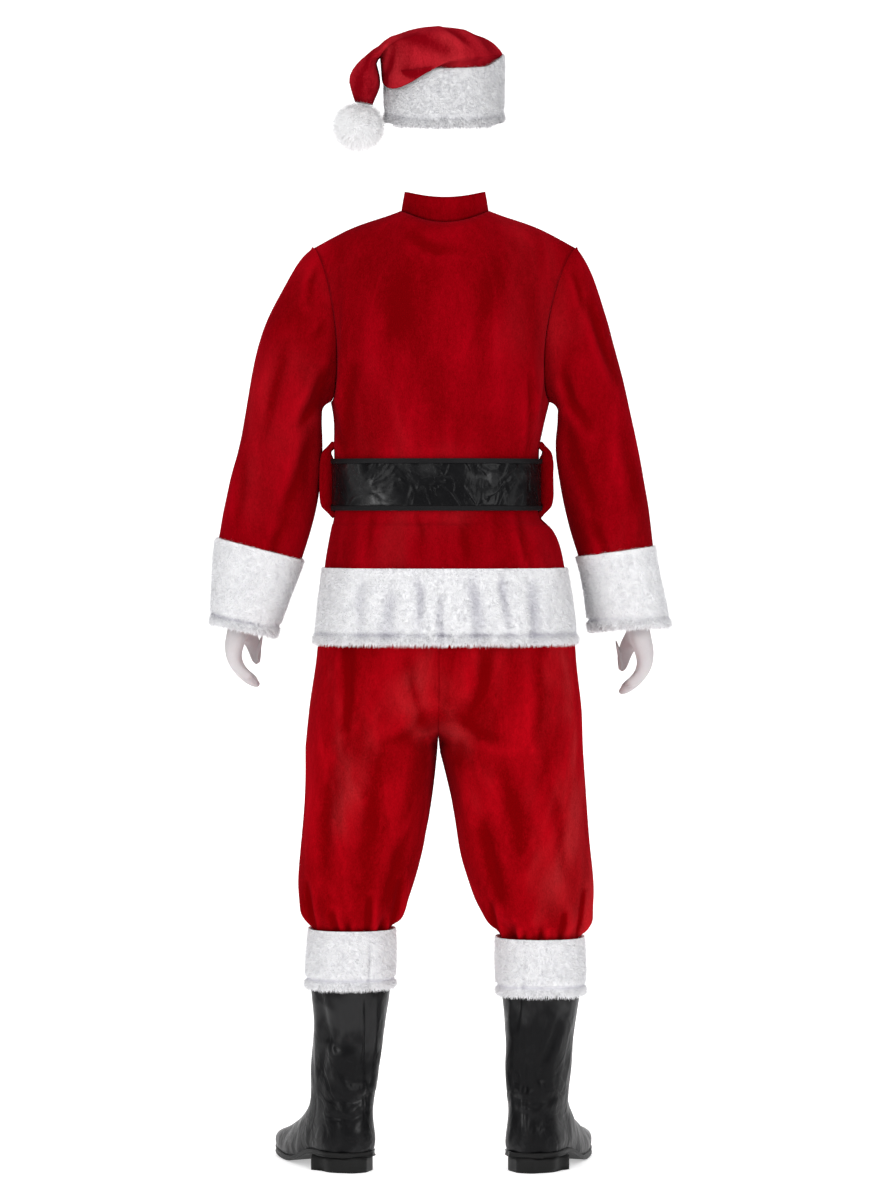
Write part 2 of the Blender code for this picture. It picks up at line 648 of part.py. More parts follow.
def collar(u, v):
    """A stand collar on the neckline, open at the centre front."""
    angle = mix(HALF - COLLAR_OPENING, COLLAR_OPENING - HALF, u)
    side = 1 if abs(angle) <= QUARTER else -1
    size = abs(angle) if side > 0 else HALF - abs(angle)
    base = shoulder_line(side, math.copysign(NECK_SHARE * min(size / QUARTER, COLLAR_END), angle))
    shrink = COLLAR_FIT - COLLAR_LEAN * v
    level = mix(base.z, NECK.height, COLLAR_LEVEL * v)
    return Vector((base.x * shrink, base.y * shrink, level + 2 * SEAM + COLLAR_HEIGHT * v))


def make_white_bands():
    """The hem band in three lengths, and the band down the front."""
    ends = (2 * SEAM, 2 * SEAM, 0.0, 0.0)

    def behind(u, v):
        return body(body_angle(1, -u), v, PILE + 2 * CLEAR)
    sheet("hem_back", behind, back_columns(), HEM_ROWS, PILE, WHITE, seams=ends)

    def before(u, v):
        return body(body_angle(-1, front_share(u, v)), v, PILE + 2 * CLEAR)
    left, right = front_columns()
    sheet("hem_front_left", before, left, HEM_ROWS, PILE, WHITE, seams=ends)
    sheet("hem_front_right", before, right, HEM_ROWS, PILE, WHITE, seams=ends)

    def front(u, v):
        return lifted(front_panel, u, v, PILE + 2 * CLEAR)
    across = [i / (2 * BODY_COLUMNS) for i in range(-2, 3)]
    rows = [HEM_TOP + 2 * SEAM] + BODY_ROWS[2:] + yoke_rows()
    sheet("front_band", front, across, rows, PILE, WHITE, seams=(0.0, 0.0, 0.0, SEAM))


def belt_face(angle, height, out):
    """A face of the belt, which rides over the white band at the front."""
    from_front = HALF - abs(angle)
    over = 1 - smooth(BELT_RAMP_START, BELT_RAMP_END, from_front)
    return body(angle, height, CLEAR + (PILE + 3 * CLEAR) * over + out)


def make_belt():
    """Strap, bindings, side loops and buckle."""
    steps = [i / (4 * BODY_COLUMNS) for i in range(4 * BODY_COLUMNS + 1)]
    columns = [steps[0], steps[1] / 2] + steps[1:-1] + [1 - steps[1] / 2, steps[-1]]
    middle = (BELT_LOW + BELT_HIGH) / 2

    def strap(u, v):
        return belt_face(HALF - FULL * u, v, VINYL)
    sheet("belt_strap", strap, columns, [BELT_LOW, middle, BELT_HIGH], VINYL, BLACK, ring=True)

    def edge(u, v):
        return belt_face(HALF - FULL * u, v, VINYL + CLEAR + BINDING_THICK)
    low = [BELT_LOW, BELT_LOW + BINDING]
    high = [BELT_HIGH - BINDING, BELT_HIGH]
    sheet("belt_binding_lower", edge, columns, low, BINDING_THICK, BINDING_BLACK, ring=True)
    sheet("belt_binding_upper", edge, columns, high, BINDING_THICK, BINDING_BLACK, ring=True)

    for name, end in (("left", 1), ("right", -1)):
        def loop(u, v):
            height = mix(LOOP_LOW, LOOP_HIGH, v)
            bow = 1 - abs(2 * v - 1) ** LOOP_SQUARE
            side = body(QUARTER * end, height)
            stand = LOOP_CLEAR + LOOP_THICK + LOOP_STAND * bow
            return side + Vector((end * stand, end * LOOP_WIDTH * (u - 0.5), 0.0))
        sheet("belt_loop_" + name, loop, 2, LOOP_ROWS, LOOP_THICK, RED)

    outline = bpy.data.curves.new("buckle", "CURVE")
    outline.dimensions = "2D"
    outline.fill_mode = "BOTH"
    outline.extrude = BUCKLE_THICK / 2
    half_height = (BELT_HIGH - BELT_LOW) / 2 + BUCKLE_REACH
    for inset in (0.0, BUCKLE_BAR):
        spline = outline.splines.new("POLY")
        spline.points.add(3)
        spline.use_cyclic_u = True
        x = BUCKLE_WIDTH / 2 - inset
        y = half_height - inset
        for point, corner in zip(spline.points, ((x, y), (-x, y), (-x, -y), (x, -y))):
            point.co = (corner[0], corner[1], 0.0, 1.0)
    outline.materials.append(material("buckle", BRASS))
    buckle = bpy.data.objects.new("buckle", outline)
    face = belt_face(HALF, middle, VINYL + CLEAR + BINDING_THICK)
    buckle.location = (face.x, face.y - CLEAR - BUCKLE_THICK / 2, middle - HOLD_HEIGHT)
    buckle.rotation_euler = (math.radians(QUARTER), 0.0, 0.0)
    SUIT.objects.link(buckle)


def trouser(table, folds, turn, height):
    """Outer face of one trouser leg: turn 0 at the inside leg, 90 in front, 270 behind.

    Above the crotch the leg opens into half of the seat, whose edges meet the other leg's.
    """
    row = along(table, height)
    middle = (row.inner + row.outer) / 2
    half = (row.outer - row.inner) / 2
    angle = math.radians(turn)
    across = power(math.cos(angle), ROUND)
    fore = power(math.sin(angle), ROUND)
    depth = row.front if fore > 0 else row.back
    above_hem = height - table[0].height
    fade = 1 - smooth(GATHER_TOP * GATHER_FADE, GATHER_TOP, above_hem)
    swell = mix(GATHER_LEAST, 1.0, smooth(*GATHER_SPAN, above_hem))
    uneven = 1 + GATHER_UNEVEN * math.sin(2 * angle + row.outer * FULL)
    wave = -GATHER_DEPTH * fade * swell * uneven * math.cos(GATHERS * angle)
    stand = wave + fold_depth(folds, turn, height)
    stretch = 1 + stand / abs(half)
    leg = Vector((middle - half * across * stretch, -(depth + stand) * fore, height))
    if height <= CROTCH_HEIGHT:
        return leg
    hip = math.radians(turn / 2)
    hip_fore = power(math.cos(hip), ROUND)
    reach = (row.outer - row.inner) * power(math.sin(hip), ROUND) * (1 + stand / (2 * abs(half)))
    hip_depth = row.front if hip_fore > 0 else row.back
    seat = Vector((row.inner + reach, -(hip_depth + stand) * hip_fore, height))
    above = height - CROTCH_HEIGHT
    at_seam = min(above / CROTCH_CURVE, 1.0) ** SEAT_SEAM_POWER
    elsewhere = smooth(0.0, SEAT_CURVE, above)
    near = abs(math.cos(hip)) ** SEAM_NEARNESS
    return mix(leg, seat, mix(elsewhere, at_seam, near))


def make_trousers():
    """Two legs, each a front and a back; they meet at the centre, inside and outside seams."""
    half = LEG_COLUMNS // 2
    steps = [k / LEG_COLUMNS for k in range(LEG_COLUMNS + 1)]
    for name, table, folds, end in LEGS:
        def cloth(u, v):
            turn = FULL * u if end > 0 else FULL * (1 - u)
            return trouser(table, folds, turn, v)
        hem = table[0].height
        rows = [hem + rise for rise in HEM_STEPS] + SEAT_ROWS
        first, second = ("front", "back") if end > 0 else ("back", "front")
        inside = (SEAM, SIDE_SEAM, 0.0, 0.0)
        outside = (SIDE_SEAM, SEAM, 0.0, 0.0)
        sheet(f"trouser_{first}_{name}", cloth, steps[:half + 1], rows, CLOTH, RED, seams=inside)
        sheet(f"trouser_{second}_{name}", cloth, steps[half:], rows, CLOTH, RED, seams=outside)


def foot_point(foot, forward, outward, height, share=1.0):
    """From the foot's own frame to the suit's; share is how much of the turnout applies."""
    turn = math.radians(foot.turnout * share)
    x = foot.ankle + foot.side * (forward * math.sin(turn) + outward * math.cos(turn))
    y = -forward * math.cos(turn) + outward * math.sin(turn)
    return Vector((x, y, height))


def ball_drop(forward):
    """How far the shoe comes down from its heel to the ball of the foot, less the toe's spring."""
    spring = TOE_SPRING * smooth(*SPRING_SPAN, forward)
    return HEEL_LIFT * smooth(*DROP_SPAN, forward) - spring


def boot(foot, turn, height):
    """Outer face of a boot cover: turn 0 at the inside, 90 at the toe, 270 at the heel."""
    row = along(BOOT, height)
    angle = math.radians(turn)
    stand = fold_depth(BOOT_FOLDS, turn, height)
    length = row.toe if math.sin(angle) > 0 else row.heel
    forward = (length + stand) * power(math.sin(angle), ROUND)
    outward = -(row.width + stand) * power(math.cos(angle), ROUND)
    point = foot_point(foot, forward, outward, height, 1 - smooth(*TWIST_SPAN, height))
    point.x += foot.lean * smooth(*LEAN_SPAN, height)
    point.z -= ball_drop(forward) * (1 - smooth(*INSTEP_SPAN, height))
    return point


def foot_columns():
    """Columns of a boot, closer together where the shoe's underside curves."""
    toe_side = TOE_TURNS + [HALF - turn for turn in reversed(TOE_TURNS[:-1])]
    heel_side = HEEL_TURNS[1:] + [HALF - turn for turn in reversed(HEEL_TURNS[:-1])]
    return [turn / FULL for turn in toe_side + [HALF + turn for turn in heel_side]]


def foot_stations():
    """Rows of a sole from heel to toe, level with the columns of the boot above it."""
    row = along(BOOT, SOLE_TOP)
    heel = [-row.heel * power(math.sin(math.radians(turn)), ROUND) for turn in reversed(HEEL_TURNS)]
    toe = [row.toe * power(math.sin(math.radians(turn)), ROUND) for turn in TOE_TURNS]
    return heel + toe[1:]


def sole(foot, u, forward, lip):
    """Top of the sole: forward runs to the toe and u across, to the right seen from above."""
    row = along(BOOT, SOLE_TOP)
    length = (row.toe if forward > 0 else row.heel) + lip
    reach = min(abs(forward) / length, SOLE_END)
    half = (row.width + lip) * (1 - reach ** (2 / ROUND)) ** (ROUND / 2)
    outward = foot.side * half * (1 - 2 * u)
    point = foot_point(foot, forward, outward, SOLE_TOP)
    point.z -= ball_drop(forward)
    return point


def make_boots():
    """White tops, vinyl covers, soles and heels."""
    for name, foot, tops in FEET:
        columns = foot_columns()
        if foot.side < 0:
            columns = [1 - column for column in reversed(columns)]

        def plush(u, v):
            turn = FULL * u if foot.side > 0 else FULL * (1 - u)
            row = along(tops, mix(tops[0].height, tops[1].height, v))
            angle = -QUARTER - turn if foot.side > 0 else QUARTER + turn
            crown = 1 + TOP_CROWN * math.sin(math.pi * v)
            depth = row.depth * crown
            return ring_point(angle, row.middle, row.width * crown, depth, depth, row.height)
        sheet("boot_top_" + name, plush, columns, 2, PILE, WHITE, ring=True)

        def cover(u, v):
            turn = FULL * u if foot.side > 0 else FULL * (1 - u)
            return boot(foot, turn, v)
        rows = [row.height for row in BOOT]
        sheet("boot_" + name, cover, columns, rows, VINYL, BLACK, ring=True)

        def tread(u, v):
            return sole(foot, u, v, SOLE_LIP)
        sheet("sole_" + name, tread, 4, foot_stations(), SOLE_THICK, SOLE_BLACK)

        def seat(u, v):
            point = sole(foot, u, v, -HEEL_INSET)
            point.z = SOLE_TOP - SOLE_THICK - 2 * CLEAR
            return point
        rows = [forward for forward in foot_stations() if forward < DROP_SPAN[0]]
        sheet("heel_" + name, seat, 4, rows, SOLE_TOP - SOLE_THICK - 2 * CLEAR, SOLE_BLACK)


def slump(part, angle, reach):
    """How far the crown sags over its band, at a place round it and along it."""
    place = (angle - part.angle + HALF) % FULL - HALF
    grow = smooth(part.start, part.full, reach) * (1 - smooth(part.fade, part.end, reach))
    return part.amount * grow * math.exp(-(place / part.spread) ** 2)


def make_hat():
    """White band, red crown that falls to the wearer's left, and pompom."""
    def band(u, v):
        angle = HALF - FULL * u
        bulge = BAND_BULGE * math.sin(math.pi * v)
        width = BAND_WIDTH + bulge
        depth = BAND_DEPTH + bulge
        point = ring_point(angle, BAND_MIDDLE, width, depth, depth, BAND_CENTRE + BAND_HEIGHT * v)
        point.z -= BAND_SLOPE * point.y
        return point
    sheet("hat_band", band, HAT_COLUMNS, 2, PILE, WHITE, ring=True)

    def crown(u, v):
        angle = HALF - FULL * u
        row = along(CROWN, v)
        inner = Vector((row.inner_x, -row.forward, row.inner_height))
        outer = Vector((row.outer_x, -row.forward, row.outer_height))
        stand = fold_depth(CROWN_FOLDS, angle, v)
        half = (inner - outer) / 2
        turn = math.radians(angle)
        stretch = 1 + stand / half.length
        across = half * power(math.sin(turn), ROUND) * stretch
        fore = (row.depth + stand) * power(math.cos(turn), ROUND)
        point = (inner + outer) / 2 + across + Vector((0.0, fore, 0.0))
        point.z -= BAND_SLOPE * fore * (1 - smooth(0.0, CROWN_SLOPE_END, v))
        point += Vector((math.sin(turn), math.cos(turn), 0.0)) * slump(SLUMP_OUT, angle, v)
        point.z -= slump(SLUMP_DOWN, angle, v)
        return point
    sheet("hat_crown", crown, HAT_COLUMNS, CROWN_ROWS, CLOTH, RED, ring=True, even=False)

    ball = bmesh.new()
    bmesh.ops.create_icosphere(ball, subdivisions=2, radius=POMPOM_RADIUS)
    centre = POMPOM_CENTRE - Vector((0.0, 0.0, HOLD_HEIGHT))
    bmesh.ops.translate(ball, vec=centre, verts=ball.verts)
    add_object("hat_pompom", ball, WHITE)


def glove(name, knuckles, side):
    """A glove in the form of a resting hand; its palm faces the leg and its fingers bend inward."""
    cage = bmesh.new()
    bmesh.ops.create_grid(cage, x_segments=1, y_segments=FINGER_COUNT, size=0.5)
    bmesh.ops.reverse_faces(cage, faces=cage.faces)
    bmesh.ops.scale(cage, vec=(KNUCKLE_THICK, KNUCKLE_WIDTH, 1.0), verts=cage.verts)
    bases = sorted(cage.faces, key=lambda face: -face.calc_center_median().y)
    rim = [edge for edge in cage.edges if edge.is_boundary]
    thumb_base = None
    for slab in HAND:
        grown = bmesh.ops.extrude_edge_only(cage, edges=rim)["geom"]
        verts = [part for part in grown if isinstance(part, bmesh.types.BMVert)]
        rim = [part for part in grown if isinstance(part, bmesh.types.BMEdge) and part.is_boundary]
        width = max(vert.co.y for vert in verts) * 2
        thick = max(vert.co.x for vert in verts) * 2
        for vert in verts:
            vert.co.x *= slab.thick / thick
            vert.co.y *= slab.width / width
            vert.co.z = slab.rise
        if slab is HAND[1]:
            walls = [part for part in grown if isinstance(part, bmesh.types.BMFace)]
            thumb_base = min(walls, key=lambda face: face.calc_center_median().y)
    for face, length in zip(bases, FINGER_LENGTHS):
        bend = 0.0
        tip = face
        for part, angle in zip(FINGER_SHARES, FINGER_BENDS):
            bend += math.radians(angle)
            tip = bmesh.ops.extrude_discrete_faces(cage, faces=[tip])["faces"][0]
            step = Vector((-math.sin(bend), 0.0, -math.cos(bend))) * length * part
            centre = tip.calc_center_median()
            turn = Matrix.Rotation(math.radians(angle), 3, "Y")
            for vert in tip.verts:
                vert.co = centre + turn @ (vert.co - centre) * FINGER_TAPER + step
    tip = thumb_base
    for step in THUMB:
        tip = bmesh.ops.extrude_discrete_faces(cage, faces=[tip])["faces"][0]
        centre = tip.calc_center_median()
        for vert in tip.verts:
            vert.co = centre + (vert.co - centre) * step.scale + Vector((step.across, step.fore, step.down))
    bmesh.ops.rotate(cage, matrix=Matrix.Rotation(math.radians(-HAND_TILT), 3, "Y"), verts=cage.verts)
    bmesh.ops.scale(cage, vec=(side, 1.0, 1.0), verts=cage.verts)
    if side < 0:
        bmesh.ops.reverse_faces(cage, faces=cage.faces)
    bmesh.ops.translate(cage, vec=knuckles - Vector((0.0, 0.0, HOLD_HEIGHT)), verts=cage.verts)
    item = add_object("glove_" + name, cage, GLOVE_WHITE)
    fine = item.modifiers.new("Fine", "SUBSURF")
    fine.levels = 1
    fine.render_levels = 1
    wall(item, KNIT)


SLEEVES = (("left", SLEEVE_LEFT, SLEEVE_FOLDS_LEFT, 1), ("right", SLEEVE_RIGHT, SLEEVE_FOLDS_RIGHT, -1))
LEGS = (("left", LEG_LEFT, LEG_FOLDS_LEFT, 1), ("right", LEG_RIGHT, LEG_FOLDS_RIGHT, -1))
FEET = (("left", FOOT_LEFT, BOOT_TOP_LEFT), ("right", FOOT_RIGHT, BOOT_TOP_RIGHT))
SUIT = clear_collection("santa_suit")
make_jacket()
make_white_bands()
make_belt()
make_trousers()
make_boots()
make_hat()
glove("left", HAND_LEFT, 1)
glove("right", HAND_RIGHT, -1)
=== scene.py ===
# %% [markdown]
# # A santa suit, dressed over its solids
#
# The suit is a red plush jacket, trousers and hat with long-piled white trims, a wide coated belt,
# black boot covers and white gloves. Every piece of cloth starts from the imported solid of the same
# name, so it keeps its place and size, and is then smoothed, creased and given its pile.

# %% Load the frame
import math
from collections import namedtuple

import bmesh
import bpy
import numpy as np
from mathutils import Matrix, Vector, noise


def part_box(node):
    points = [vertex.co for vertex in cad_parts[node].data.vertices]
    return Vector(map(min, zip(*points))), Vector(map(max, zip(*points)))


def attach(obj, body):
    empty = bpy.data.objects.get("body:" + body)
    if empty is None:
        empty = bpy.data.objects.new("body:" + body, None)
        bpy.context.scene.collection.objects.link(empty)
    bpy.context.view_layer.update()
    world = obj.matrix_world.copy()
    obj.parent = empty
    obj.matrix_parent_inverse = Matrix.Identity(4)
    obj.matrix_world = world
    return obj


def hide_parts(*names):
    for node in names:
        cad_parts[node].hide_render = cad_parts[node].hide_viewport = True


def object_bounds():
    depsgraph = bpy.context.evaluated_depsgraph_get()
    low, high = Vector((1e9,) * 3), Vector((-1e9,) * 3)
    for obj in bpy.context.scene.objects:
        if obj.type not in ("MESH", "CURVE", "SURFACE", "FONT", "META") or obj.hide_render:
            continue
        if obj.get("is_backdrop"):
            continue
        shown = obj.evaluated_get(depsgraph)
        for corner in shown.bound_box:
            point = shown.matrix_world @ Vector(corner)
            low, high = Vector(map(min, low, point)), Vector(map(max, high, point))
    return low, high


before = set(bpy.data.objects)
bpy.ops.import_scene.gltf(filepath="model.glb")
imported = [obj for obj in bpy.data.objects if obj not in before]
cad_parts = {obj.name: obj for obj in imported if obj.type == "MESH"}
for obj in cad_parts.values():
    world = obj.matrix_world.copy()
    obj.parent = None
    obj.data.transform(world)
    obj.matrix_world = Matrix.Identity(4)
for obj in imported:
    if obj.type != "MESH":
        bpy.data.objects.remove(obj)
cad_low, cad_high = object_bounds()
print("frame box, mm:", [round(1000 * (high - low)) for low, high in zip(cad_low, cad_high)])

# %% [markdown]
# ## Heights
#
# The origin is at the foot of the neck, so heights above the ground are easier to read once the
# ground's own height is taken from them. A crease is then placed by where it is across the suit and
# how high above the floor it lies.

# %% The ground and places above it
GROUND = cad_low.z


def at(x, height, y=0.0):
    """A place given by its height above the ground."""
    return Vector((x, y, GROUND + height))


print("ground, m:", round(GROUND, 4))


# %% [markdown]
# ## Shader maths
#
# A material is easier to follow when its sums look like sums. The Wire class holds one socket and
# turns + - * into Math nodes. Every other node comes from Network.add, which sets the node's own
# choices first and then fills or links its inputs. Materials and the tufts' geometry both use it.

# %% A socket with arithmetic
class Wire:
    def __init__(self, network, socket):
        self.network = network
        self.socket = socket

    def math(self, operation, first, second, **choices):
        return self.network.add("ShaderNodeMath", {"operation": operation, **choices}, {0: first, 1: second})

    def __add__(self, other):
        return self.math("ADD", self, other)

    def __sub__(self, other):
        return self.math("SUBTRACT", self, other)

    def __mul__(self, other):
        return self.math("MULTIPLY", self, other)

    def clamped(self):
        return self.math("ADD", self, 0.0, use_clamp=True)

    __radd__ = __add__
    __rmul__ = __mul__


# %% A network of nodes
class Network:
    def __init__(self, tree):
        self.tree = tree

    def add(self, kind, choices=None, inputs=None, output=0):
        node = self.tree.nodes.new(kind)
        for name, value in (choices or {}).items():
            setattr(node, name, value)
        for key, value in (inputs or {}).items():
            self.fill(node.inputs[key], value)
        return Wire(self, node.outputs[output])

    def fill(self, socket, value):
        if isinstance(value, Wire):
            self.tree.links.new(value.socket, socket)
        else:
            socket.default_value = value


# %% A material and its usual nodes
EVEN = (1.0, 1.0, 1.0)


class Finish(Network):
    def __init__(self, name, **constants):
        self.material = bpy.data.materials.new(name)
        self.material.use_nodes = True
        super().__init__(self.material.node_tree)
        self.shader = self.tree.nodes["Principled BSDF"]
        self.set(**constants)

    def set(self, **values):
        for socket, value in values.items():
            self.fill(self.shader.inputs[socket.replace("_", " ")], value)

    def place(self, stretch=EVEN):
        where = self.add("ShaderNodeTexCoord", output="Object")
        return self.add("ShaderNodeMapping", None, {"Vector": where, "Scale": stretch})

    def noise(self, scale, detail, stretch=EVEN, rough=0.5, bend=0.0):
        return self.add("ShaderNodeTexNoise", None, {
            "Vector": self.place(stretch), "Scale": scale, "Detail": detail,
            "Roughness": rough, "Distortion": bend})

    def blend(self, share, first, second):
        return self.add("ShaderNodeMix", {"data_type": "RGBA"}, {"Factor": share, 6: first, 7: second}, 2)

    def level(self, value, low, high):
        return self.add("ShaderNodeMapRange", {"interpolation_type": "SMOOTHSTEP"}, {
            "Value": value, "From Min": low, "From Max": high})

    def fold_shading(self):
        """How far a crease has pushed the cloth out, less the painted shade of seams, fork and stitching, as
        drape or pile_cloth has stored it.
        """
        return self.add("ShaderNodeAttribute", {"attribute_name": "fold_shading"}, None, "Fac")

    def bump(self, height, distance, strength, under=None):
        inputs = {"Height": height, "Distance": distance, "Strength": strength}
        if under:
            inputs["Normal"] = under
        return self.add("ShaderNodeBump", None, inputs)


# %% [markdown]
# ## Red plush
#
# The suit's cloth is a short velour. Its pile leans one way or another wherever a hand has brushed
# it. The soft upright patches of lighter and darker red and the paler streaks over them are painted
# sheen in the colour, over a fine speckle of single tufts. The sheen is the pile seen edge on.
# Creases carry their depth in an attribute called "fold_shading": the colour is painted darker in a
# trough as shade and paler along a ridge as a highlight.

# %% Red plush
# The pale colour of the painted sheen streaks.
SHEEN_PALE = (0.52, 0.040, 0.045, 1)
PATCH_TALL, STROKE_TALL, TUFT_TALL = (1.0, 1.0, 0.42), (1.0, 1.0, 0.35), (1.0, 1.0, 0.5)
SHEEN_PATCH_SHARE, SPECK_SHARE, CLUMP_SHARE, FOLD_SHARE = 0.34, 0.9, 0.5, 0.42
MIDDLE_SHARE, SHEEN_PATCH_EASE = 0.33, 0.15


def red_plush(name, dark, light, brushed_sheen, sheen_streak_share):
    cloth = Finish(name, Roughness=0.92, Sheen_Weight=0.10, Sheen_Roughness=0.45,
                   Sheen_Tint=(1.0, 0.06, 0.10, 1.0), Specular_IOR_Level=0.0)
    patch = cloth.level(cloth.noise(7.0, 3.0, PATCH_TALL, 0.55, 0.5), 0.40, 0.72)
    stroke = cloth.level(cloth.noise(26.0, 4.0, STROKE_TALL, 0.6, 0.9), 0.42, 0.74)
    speck = cloth.noise(520.0, 2.0, TUFT_TALL, 0.7)
    clump = cloth.noise(150.0, 3.0, TUFT_TALL, 0.65)
    fold_shading = cloth.fold_shading()
    # Painted sheen: soft upright patches of lighter and darker red, for the brushed pile catching the light.
    sheen_patches = (patch + stroke) * (SHEEN_PATCH_SHARE * brushed_sheen)
    share = sheen_patches + (speck - 0.5) * SPECK_SHARE + (clump - 0.5) * CLUMP_SHARE
    # Painted shade in the creases' troughs and painted highlight along their ridges, read from fold_shading.
    share = share + (MIDDLE_SHARE - SHEEN_PATCH_EASE * brushed_sheen) + fold_shading * FOLD_SHARE
    sheen_mottled = cloth.blend(share.clamped(), dark, light)
    # Painted sheen: paler streaks over the patches, held back where a crease has painted shade.
    sheen_streaks = cloth.level(cloth.noise(6.5, 3.0, PATCH_TALL, 0.55, 0.3), 0.50, 0.78) * sheen_streak_share
    out_of_fold_shade = cloth.level(fold_shading, -1.2, -0.1)
    cloth.set(Base_Color=cloth.blend(sheen_streaks * out_of_fold_shade * (speck + 0.1), sheen_mottled, SHEEN_PALE))
    coarse = cloth.bump(clump, 0.0016, 0.45)
    cloth.set(Normal=cloth.bump(speck, 0.0011, 0.55, coarse))
    return cloth.material


RED = red_plush("jacket_plush", (0.150, 0.0002, 0.0014, 1), (0.345, 0.0008, 0.0060, 1), 0.65, 0.16)
RED_LEG = red_plush("trouser_plush", (0.165, 0.0002, 0.0012, 1), (0.405, 0.0018, 0.0066, 1), 0.90, 0.60)
RED_HAT = red_plush("hat_plush", (0.170, 0.0010, 0.0040, 1), (0.430, 0.0120, 0.0220, 1), 0.90, 0.45)
print("red finishes:", RED.name, RED_LEG.name, RED_HAT.name)

# %% [markdown]
# ## White plush
#
# The trims have a longer, fluffier pile. The tufts themselves are real small pieces further down;
# this finish only keeps the cloth between them from looking like plaster, with slightly greyer
# hollows. In a deep fold or along a row of stitching the colour is painted a cool grey as shade.

# %% White plush
FOLD_SHADE_GREY = (0.50, 0.49, 0.56, 1)
CLUMP_PART = 0.6


def white_plush(name, hollow, tip, glow=0.0):
    # A glow is painted light; only the pompom has one.
    fur = Finish(name, Roughness=0.95, Sheen_Weight=0.15, Sheen_Roughness=0.5, Specular_IOR_Level=0.15,
                 Emission_Color=(1.0, 1.0, 1.0, 1.0), Emission_Strength=glow)
    clump = fur.noise(170.0, 3.0, rough=0.6)
    tuft = fur.noise(60.0, 3.0, rough=0.6, bend=0.6)
    share = fur.level(clump * CLUMP_PART + tuft * (1 - CLUMP_PART), 0.34, 0.60)
    # Painted shade: deep folds and the stitching turn the colour a cool grey.
    out_of_fold_shade = fur.level(fur.fold_shading(), -1.5, 0.0)
    fur.set(Base_Color=fur.blend(out_of_fold_shade, FOLD_SHADE_GREY, fur.blend(share, hollow, tip)))
    fur.set(Normal=fur.bump(clump, 0.002, 0.5))
    return fur.material


WHITE = white_plush("trim_plush", (0.85, 0.85, 0.87, 1), (0.935, 0.935, 0.945, 1))
# The hat band's plush is a darker copy of the trim plush: painted shade against its light from above.
WHITE_BAND_SHADED = white_plush("band_plush", (0.68, 0.68, 0.70, 1), (0.80, 0.80, 0.81, 1))
# The pompom's plush is a lighter copy with a faint glow: painted light against the shade its crowded tufts
# cast.
WHITE_BALL_LIT = white_plush("pompom_plush", (0.95, 0.95, 0.96, 1), (0.985, 0.985, 0.99, 1), glow=0.055)
print("white finishes:", WHITE.name, WHITE_BAND_SHADED.name, WHITE_BALL_LIT.name)

# %% [markdown]
# ## Coated fabric, tape, knit, rubber and metal
#
# The belt and boots are a glossy black coated fabric with a fine grain and small dents. The belt's
# edges are bound with a duller tape. The gloves are a fine knit with a faint warm tone, the soles
# are moulded, and the buckle is a plain warm metal.

# %% Black coated fabric
DENT_TALL, WANDER_TALL = (1.0, 1.0, 0.7), (1.0, 1.0, 0.8)
BLACK_HOLLOW, BLACK_WORN = (0.0030, 0.0030, 0.0034, 1), (0.0070, 0.0070, 0.0078, 1)


def coated(name, low, high, dents, crumples, shine):
    skin = Finish(name, Specular_IOR_Level=0.10, Coat_Roughness=0.20)
    smear = skin.noise(15.0, 4.0, DENT_TALL, 0.6, 0.5)
    grain = skin.add("ShaderNodeTexVoronoi", None, {"Vector": skin.place(), "Scale": 720.0}, "Distance")
    dent = skin.noise(24.0, 3.0, DENT_TALL, 0.5, 0.6)
    wander = skin.noise(13.0, 2.0, WANDER_TALL, 0.5, 1.2) - 0.5
    crumple = skin.level(wander * wander, 0.0, 0.006)
    skin.set(Base_Color=skin.blend(smear, BLACK_HOLLOW, BLACK_WORN))
    skin.set(Roughness=low + (high - low) * skin.level(smear, 0.3, 0.7))
    skin.set(Coat_Weight=shine * skin.level(smear, 0.50, 0.68))
    soft = skin.bump(dent, dents, 0.7, skin.bump(crumple, crumples, 0.6))
    skin.set(Normal=skin.bump(grain, 0.00012, 0.35, soft))
    return skin.material


BELT_BLACK = coated("belt_vinyl", 0.22, 0.38, 0.0075, 0.0026, 1.0)
BOOT_BLACK = coated("boot_vinyl", 0.30, 0.46, 0.0055, 0.0006, 0.40)
print("black finishes:", BELT_BLACK.name, BOOT_BLACK.name)


# %% Tape, knit, rubber and metal
TONE_PART, GRAIN_PART, ROUGH_SPREAD = 0.7, 0.3, 0.12
KNIT_TALL = (1.0, 1.0, 0.4)


def plain(name, dark, light, rough, grain_scale, grain_depth, stretch=EVEN, **constants):
    finish = Finish(name, **constants)
    tone = finish.noise(22.0, 3.0)
    grain = finish.noise(grain_scale, 2.0, stretch, 0.6)
    share = (tone * TONE_PART + grain * GRAIN_PART).clamped()
    finish.set(Base_Color=finish.blend(share, dark, light))
    finish.set(Roughness=rough + ROUGH_SPREAD * (tone - 0.5))
    finish.set(Normal=finish.bump(grain, grain_depth, 0.5))
    return finish.material


